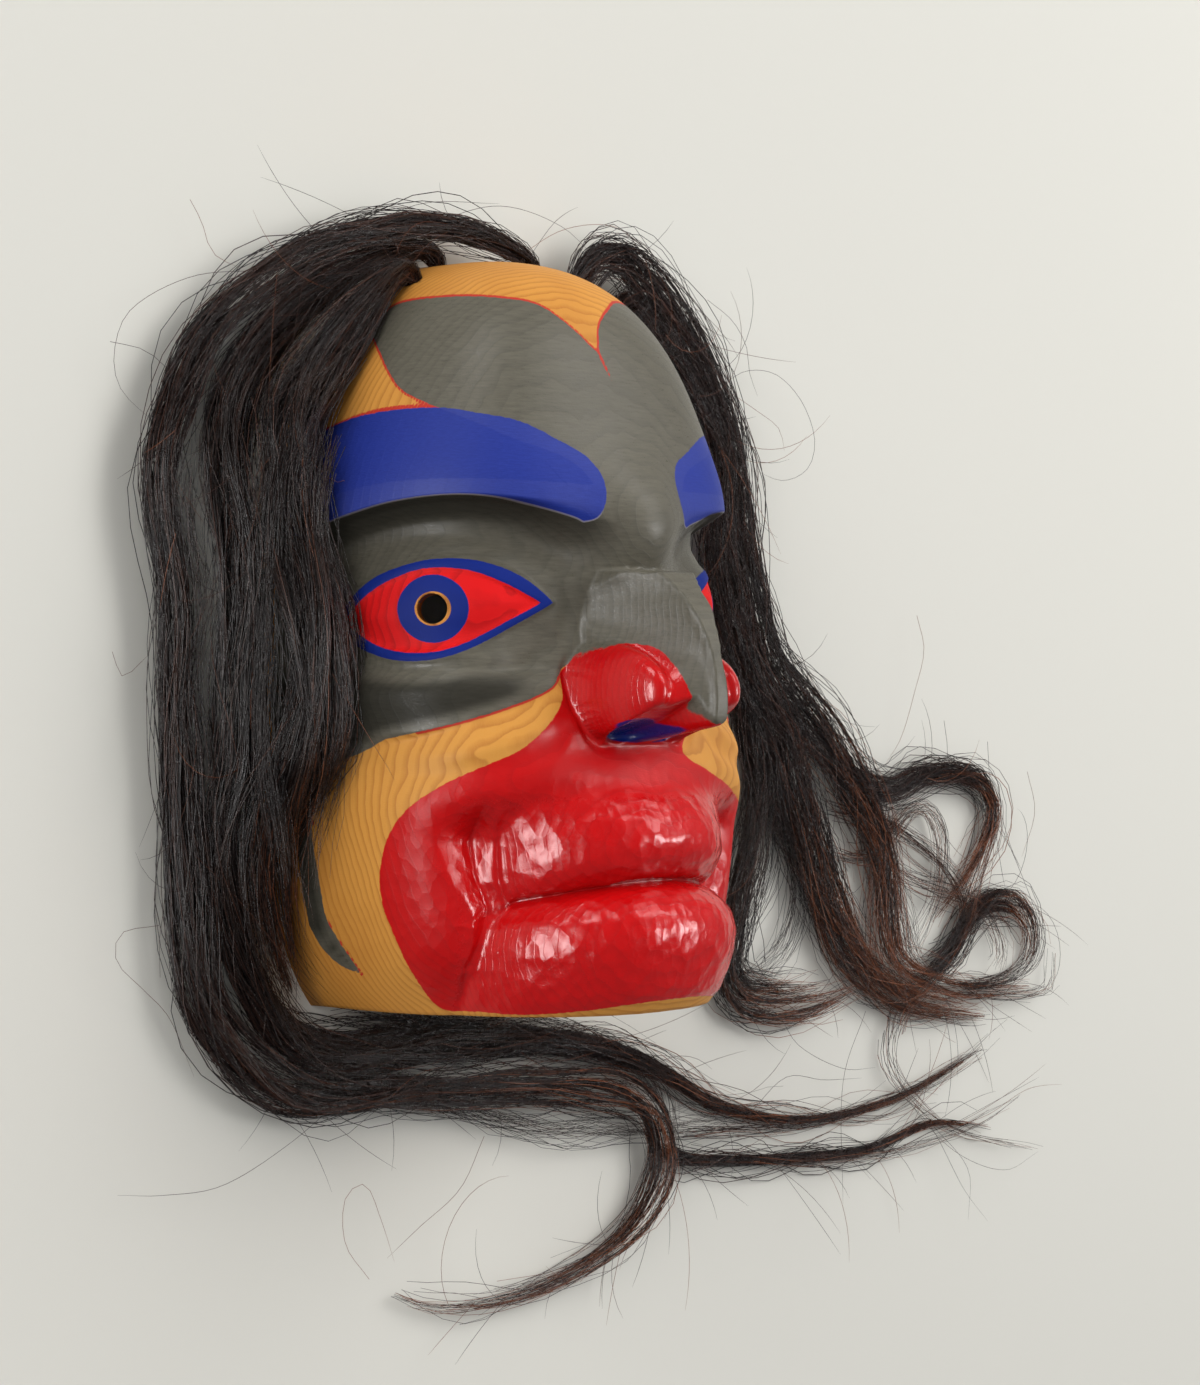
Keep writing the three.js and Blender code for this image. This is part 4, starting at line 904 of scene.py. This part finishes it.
def make_flyaways(mask_tree):
    """Hairs that have come loose: single long ones, short arcs along the locks, and thin bundles."""
    rng = np.random.default_rng(LOOSE_SEED)
    strands = Strands()
    arcs = [np.array([(x, y, 8.0) for x, y in arc]) for arc in LOOSE_HAIRS]
    for lock in LOCKS:
        for line in lock["lines"]:
            points, _, length = dense_line(line)
            along = frames(points)[0]
            for _ in range(int(length[-1] / 15)):
                i = int(len(points) * rng.uniform(0.04, 0.97))
                heading = math.atan2(along[i, 1], along[i, 0]) + rng.choice([-1, 1]) * rng.uniform(0.15, 0.8)
                bend = rng.normal() * 0.022
                reach = rng.uniform(25, 75)
                at = np.linspace(0, reach, 12)
                angle = heading + bend * at
                x = points[i, 0] + running_sum(np.cos(angle[1:]) * np.diff(at))
                y = points[i, 1] + running_sum(np.sin(angle[1:]) * np.diff(at))
                z = points[i, 2] + rng.uniform(-2, 9) + at * rng.uniform(-0.1, 0.25)
                arcs.append(np.stack([x, y, z], 1))
    for arc in arcs:
        fine, _, length = dense_line([(*p, 1) for p in arc])
        at = np.linspace(0, length[-1], max(int(length[-1] / 5), 6))
        places = np.stack([np.interp(at, length, fine[:, k]) for k in range(3)], 1)
        outside = np.any((places < ROOM_LOW) | (places > ROOM_HIGH), axis=1)
        if outside.any():
            places = places[:np.argmax(outside)]
        if len(places) < 5:
            continue
        settle(places, True, mask_tree)
        tint = rng.uniform(0.6, 1.0)
        share = np.linspace(0, 1, len(places))
        strands.add(places, LOOSE_RADIUS * np.minimum(1, 0.3 + 3 * (1 - share)), tint)
    for hairs, radius, brown, high, line in WISPS:
        points, _, length = dense_line([(*p, high, 1) for p in line])
        _, side, lift = frames(points)
        count_at = stations(points, length)
        for _ in range(hairs):
            ends = np.array([rng.uniform(0, 0.15), rng.uniform(0.75, 1)]) * length[-1]
            first, last = np.interp(ends, length, count_at)
            at = np.interp(np.linspace(first, last, max(int(last - first), 6)), count_at, length)
            across = radius * (0.6 * rng.normal() + 0.45 * wave(rng, at, [(130, 1.0), (55, 0.4)]))
            up = rng.uniform(-5, 3) + 1.5 * wave(rng, at, [(110, 1.0)])
            places = beside(at, length, points, side, lift, across, up)
            settle(places, True, mask_tree)
            thick = np.linspace(rng.uniform(*WISP_RADII), WISP_TIP, len(places))
            strands.add(places, thick, np.clip(rng.uniform(0.1, 0.7) + 0.45 * brown, 0, 1))
    return strands.object("hair_flyaways")


# Materials
class Nodes:
    """A short way to write a material's nodes."""

    def __init__(self, name):
        self.material = bpy.data.materials.new(name)
        self.material.use_nodes = True
        self.tree = self.material.node_tree
        self.shader = self.tree.nodes["Principled BSDF"]

    def put(self, kind, inputs=(), **settings):
        node = self.tree.nodes.new(kind)
        for key, value in settings.items():
            setattr(node, key, value)
        for key, value in dict(inputs).items():
            self.feed(node.inputs[key], value)
        return node

    def look(self, inputs):
        for key, value in inputs.items():
            self.feed(self.shader.inputs[key], value)
        return self.material

    def feed(self, socket, value):
        if isinstance(value, bpy.types.NodeSocket):
            self.tree.links.new(value, socket)
        else:
            socket.default_value = value

    def attribute(self, name):
        return self.put("ShaderNodeAttribute", attribute_name=name).outputs["Fac"]

    def math(self, operation, a, b=0.0, c=0.0):
        node = self.put("ShaderNodeMath", operation=operation)
        for i, value in enumerate((a, b, c)):
            self.feed(node.inputs[i], value)
        return node.outputs[0]

    def times(self, a, b):
        return self.math("MULTIPLY", a, b)

    def plus(self, *values):
        total = values[0]
        for value in values[1:]:
            total = self.math("ADD", total, value)
        return total

    def step(self, value, low, high, to_low=0.0, to_high=1.0, kind="SMOOTHSTEP"):
        return self.put("ShaderNodeMapRange", {"Value": value, "From Min": low, "From Max": high,
                                               "To Min": to_low, "To Max": to_high},
                        interpolation_type=kind).outputs[0]

    def blend(self, factor, a, b):
        node = self.put("ShaderNodeMix", data_type="RGBA")
        self.feed(node.inputs[0], factor)
        for socket, value in ((node.inputs[6], a), (node.inputs[7], b)):
            if isinstance(value, tuple) and len(value) == 3:
                value = (*value, 1.0)
            self.feed(socket, value)
        return node.outputs[2]

    def blend_values(self, factor, a, b):
        node = self.put("ShaderNodeMix", data_type="FLOAT")
        for socket, value in ((node.inputs[0], factor), (node.inputs[2], a), (node.inputs[3], b)):
            self.feed(socket, value)
        return node.outputs[0]

    def layers(self, blend, base, *layers):
        """Lays values or colours over a base, each in its own area."""
        for area, value in layers:
            base = blend(area, base, value)
        return base

    def noise(self, vector, scale, detail):
        return self.put("ShaderNodeTexNoise", {"Vector": vector, "Scale": scale, "Detail": detail,
                                               "Roughness": 0.55}).outputs["Fac"]

    def bump(self, height, strength, distance):
        return self.put("ShaderNodeBump", {"Height": height, "Strength": strength,
                                           "Distance": distance}).outputs[0]

    def scaled(self, vector, x, y, z):
        return self.put("ShaderNodeVectorMath", {0: vector, 1: (x, y, z)}, operation="MULTIPLY").outputs[0]

    def millimetres(self):
        return self.scaled(self.put("ShaderNodeTexCoord").outputs["Object"], 1000, 1000, 1000)


def colour(red, green, blue):
    """A linear colour from screen values of 0 to 255."""
    return tuple(((c / 255 + 0.055) / 1.055) ** 2.4 if c > 10 else c / 255 / 12.92
                 for c in (red, green, blue))


def mask_material():
    n = Nodes("carved_painted_cedar")
    millimetres = n.millimetres()
    apart = n.put("ShaderNodeSeparateXYZ", {0: millimetres})
    wobble = n.math("MULTIPLY_ADD", n.noise(millimetres, 0.45, 2.0), 0.9, -0.45)

    # Growth rings are shells round an axis behind the face
    centre_x = SHIFT[0] * 1000 + 14
    across = n.plus(apart.outputs[0], -centre_x)
    deep = n.plus(apart.outputs[2], 150.0)
    lean = n.times(apart.outputs[1], 0.06)
    radius = n.math("SQRT", n.plus(n.times(across, across), n.times(deep, deep)))
    radius = n.plus(radius, lean, n.times(n.noise(n.scaled(millimetres, 1, 0.35, 1), 0.018, 3.0), 14.0),
                    n.times(n.noise(millimetres, 0.09, 2.0), 1.6))
    ring = n.math("FRACT", n.times(radius, 1 / RING_SPACING))
    late = n.step(ring, 0.45, 0.9, kind="LINEAR")
    late = n.times(late, n.step(ring, 1.0, 0.93, kind="LINEAR"))
    fibre = n.noise(n.scaled(millimetres, 1.0, 0.05, 1.0), 1.6, 3.0)

    wood = n.blend(late, colour(212, 146, 62), colour(184, 114, 42))
    wood = n.blend(n.times(fibre, 0.5), wood, colour(212, 156, 80))
    patch = n.step(n.noise(millimetres, 0.02, 2.0), 0.4, 0.7)
    wood = n.blend(n.times(patch, 0.35), wood, colour(176, 108, 40))

    streak = n.noise(n.scaled(millimetres, 0.12, 1.0, 0.25), 1.1, 4.0)
    grey = n.blend(streak, colour(78, 75, 65), colour(108, 103, 90))
    grey = n.blend(n.times(late, 0.18), grey, colour(54, 55, 50))
    brushed = n.noise(n.scaled(millimetres, 0.1, 1.2, 0.4), 1.5, 3.0)
    brow_blue = n.blend(brushed, colour(27, 42, 126), colour(38, 57, 148))
    red = n.blend(n.noise(millimetres, 0.12, 3.0), colour(184, 5, 9), colour(202, 12, 14))
    red = n.blend(n.times(late, 0.22), red, colour(150, 10, 14))
    ball = n.blend(n.times(late, 0.45), colour(220, 18, 20), colour(150, 8, 14))
    line_red = colour(188, 52, 40)
    blue = colour(12, 36, 120)

    def inside(name, soft=0.22, wander=1.0):
        value = n.plus(n.attribute(name), n.times(wobble, wander))
        return n.step(value, -soft, soft)

    in_grey, in_line = inside("grey"), inside("line", 0.3, 0.5)
    in_brow, in_red = inside("brow"), inside("red")
    in_lid, in_ball = inside("lid", 0.2, 0.5), inside("ball", 0.2, 0.5)
    in_iris, in_nostril = inside("iris", 0.2, 0.4), inside("nostril", 0.3, 0.6)
    # Painted shade: the grey turns darker in the hollows under the brow and the lower lid
    grey = n.blend(n.times(n.attribute("painted_shade"), 0.78), grey, colour(34, 33, 29))
    # Painted highlight: a pale line along the brow's lower edge, only where the surface faces down
    facing = n.put("ShaderNodeSeparateXYZ", {0: n.put("ShaderNodeNewGeometry").outputs["Normal"]})
    painted_edge_highlight = n.times(n.step(n.math("ABSOLUTE", n.attribute("brow")), 0.45, 0.15),
                       n.step(facing.outputs[1], 0.1, -0.3))
    inner_wood = n.blend(n.times(late, 0.8), colour(204, 138, 66), colour(150, 88, 36))
    bare = n.math("MAXIMUM", n.attribute("bare"), n.step(n.attribute("iris"), 6.3, 6.6))
    # Over the paint lie a painted shade, darker red, in the mouth's groove and a painted highlight on the
    # brow's lower edge
    shade = n.layers(n.blend, wood, (in_line, line_red), (in_grey, grey), (in_brow, brow_blue),
                     (n.times(painted_edge_highlight, 0.45), colour(168, 160, 156)), (in_red, red), (in_lid, blue),
                     (in_ball, ball), (n.times(in_iris, in_ball), blue), (in_nostril, blue),
                     (bare, inner_wood), (n.times(n.attribute("mouth"), 0.3), colour(96, 4, 6)))

    speck = n.step(n.noise(millimetres, 1.6, 3.0), 0.5, 0.66)
    grey_rough = n.math("MULTIPLY_ADD", speck, -0.14, n.step(streak, 0.3, 0.7, 0.38, 0.5))
    lips = n.attribute("polish")
    polish = n.step(n.noise(millimetres, 0.6, 3.0), 0.3, 0.7, 0.16, 0.27)
    rough = n.layers(n.blend_values, 0.55, (in_grey, grey_rough), (in_brow, 0.55),
                     (in_red, n.blend_values(lips, 0.4, polish)), (in_lid, 0.62), (bare, 0.7))
    gloss = n.layers(n.blend_values, 0.12, (in_grey, n.blend_values(n.attribute("painted_shade"), 0.2, 0.05)),
                     (in_red, n.blend_values(lips, 0.14, 0.32)), (in_lid, 0.08))

    grain = n.times(late, 0.045)
    painted = n.math("MAXIMUM", n.math("MAXIMUM", in_grey, in_brow), in_red)
    coat = n.times(painted, 0.06)
    weave = n.times(n.noise(n.scaled(millimetres, 0.25, 2.2, 0.4), 1.4, 3.0), 0.06)
    fleck = n.times(n.noise(millimetres, 0.8, 4.0), 0.06)

    # Small knife facets, each a little hollow
    stroke = n.scaled(millimetres, 0.23, 0.17, 0.23)
    from_middle = n.put("ShaderNodeTexVoronoi", {"Vector": stroke, "Scale": 1.0}).outputs["Distance"]
    facet = n.times(n.times(from_middle, from_middle), 0.42)
    height = n.plus(grain, coat, weave, fleck, n.times(facet, n.attribute("chips")))
    return n.look({"Base Color": shade, "Roughness": rough, "Specular IOR Level": gloss,
                   "Normal": n.bump(height, 0.7, 0.001)})


def hair_material():
    n = Nodes("horsehair")
    tint = n.attribute("tint")
    dark = n.blend(n.step(tint, 0.5, 1.0), colour(21, 16, 15), colour(72, 44, 33))
    dark = n.blend(n.step(tint, 0.88, 1.0), dark, colour(142, 84, 54))
    where = n.millimetres()
    dark = n.blend(n.times(n.noise(where, 0.05, 2.0), 0.22), dark, colour(70, 44, 34))
    return n.look({"Base Color": dark, "Roughness": n.step(n.noise(where, 0.4, 2.0), 0.3, 0.7, 0.24, 0.38),
                   "Specular IOR Level": 0.34, "Normal": n.bump(n.noise(where, 2.0, 2.0), 0.2, 0.0002)})


def floor_material():
    n = Nodes("pale_floor")
    soft = n.noise(n.put("ShaderNodeTexCoord").outputs["Object"], 3.0, 2.0)
    pale = n.blend(n.times(soft, 0.05), colour(213, 211, 202), (0.5, 0.5, 0.48))
    return n.look({"Base Color": pale, "Roughness": 0.8})


# Camera, turned towards the viewer's left of the face
TURN = math.radians(48)
AIM = np.array([42.0, 124.0, 46.0])
DISTANCE = 1233.0
FOCAL, FRAME_HEIGHT = 2964.0, 1385
SENSOR = 36.0
across = Vector((math.cos(TURN), 0, math.sin(TURN)))
forward = Vector((math.sin(TURN), 0, -math.cos(TURN)))
place = Vector(AIM * MM + SHIFT) - forward * DISTANCE * MM
camera_data = bpy.data.cameras.new("camera")
camera_data.sensor_fit = "VERTICAL"
camera_data.sensor_height = SENSOR
camera_data.lens = SENSOR * FOCAL / FRAME_HEIGHT
camera_data.clip_end = 20
camera = put_object("camera", camera_data)
basis = Matrix((across, Vector((0, 1, 0)), -forward)).transposed().to_4x4()
camera.matrix_world = Matrix.Translation(place) @ basis
bpy.context.scene.camera = camera

# Mask
mask = make_mask()
mask.data.materials.clear()
mask.data.materials.append(mask_material())
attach(mask, "root")
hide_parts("mask")

# Hair
depsgraph = bpy.context.evaluated_depsgraph_get()
mask_tree = BVHTree.FromObject(mask, depsgraph)
hair = hair_material()
for number, lock in enumerate(LOCKS):
    strands = make_lock(lock, LOCK_SEED + number, mask_tree)
    strands.data.materials.append(hair)
    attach(strands, "root")
    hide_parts(lock["name"])
flyaways = make_flyaways(mask_tree)
flyaways.data.materials.append(hair)
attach(flyaways, "root")

# Floor and light
LIT = np.array([0.0, 110.0, 60.0])
FLOOR_HALF = 6
floor_mesh = bpy.data.meshes.new("floor")
corners = [(FLOOR_HALF * x, FLOOR_HALF * y, 0) for x, y in ((-1, -1), (1, -1), (1, 1), (-1, 1))]
floor_mesh.from_pydata(corners, [], [(0, 1, 2, 3)])
floor = put_object("floor", floor_mesh)
floor_mesh.materials.append(floor_material())


def softbox(name, direction, distance, size, power, only):
    """An area light that only lights what is matt, or is only seen in what is glossy."""
    light = bpy.data.lights.new(name, "AREA")
    light.shape = "RECTANGLE"
    light.size, light.size_y = size
    light.energy = power
    obj = put_object(name, light)
    aim = Vector(LIT * MM + SHIFT)
    direction = Vector(direction).normalized()
    obj.location = aim + direction * distance
    obj.rotation_euler = direction.to_track_quat("Z", "Y").to_euler()
    obj.visible_glossy = only != "diffuse"
    obj.visible_diffuse = only != "glossy"


for row in (
        ("key", (0.56, 0.42, 0.71), 3.4, (2.4, 2.4), 96, "diffuse"),
        ("high_light", (-0.82, 0.44, 0.36), 2.6, (1.8, 1.2), 33, "diffuse"),
        ("right_light", (0.88, 0.2, 0.43), 2.6, (1.2, 1.2), 7, "diffuse"),
        ("left_light", (-0.8, 0.1, 0.58), 2.6, (1.2, 1.2), 11, "diffuse"),
        ("left_gleam", (-0.84, 0.02, 0.52), 2.3, (1.8, 0.7), 80, "glossy"),
        ("right_gleam", (0.64, 0.0, 0.77), 2.3, (0.6, 0.6), 30, "glossy"),
        ("top_gleam", (-0.25, 0.87, 0.43), 2.3, (0.6, 0.6), 15, "glossy"),
        ("brow_gleam", (0.52, 0.62, 0.59), 2.3, (1.2, 0.6), 15, "glossy"),
):
    softbox(*row)
bpy.context.scene.view_settings.view_transform = "Standard"
world = bpy.data.worlds.new("studio")
bpy.context.scene.world = world
world.use_nodes = True
world.node_tree.nodes["Background"].inputs[0].default_value = (0.95, 0.96, 1.0, 1)
world.node_tree.nodes["Background"].inputs[1].default_value = 0.25
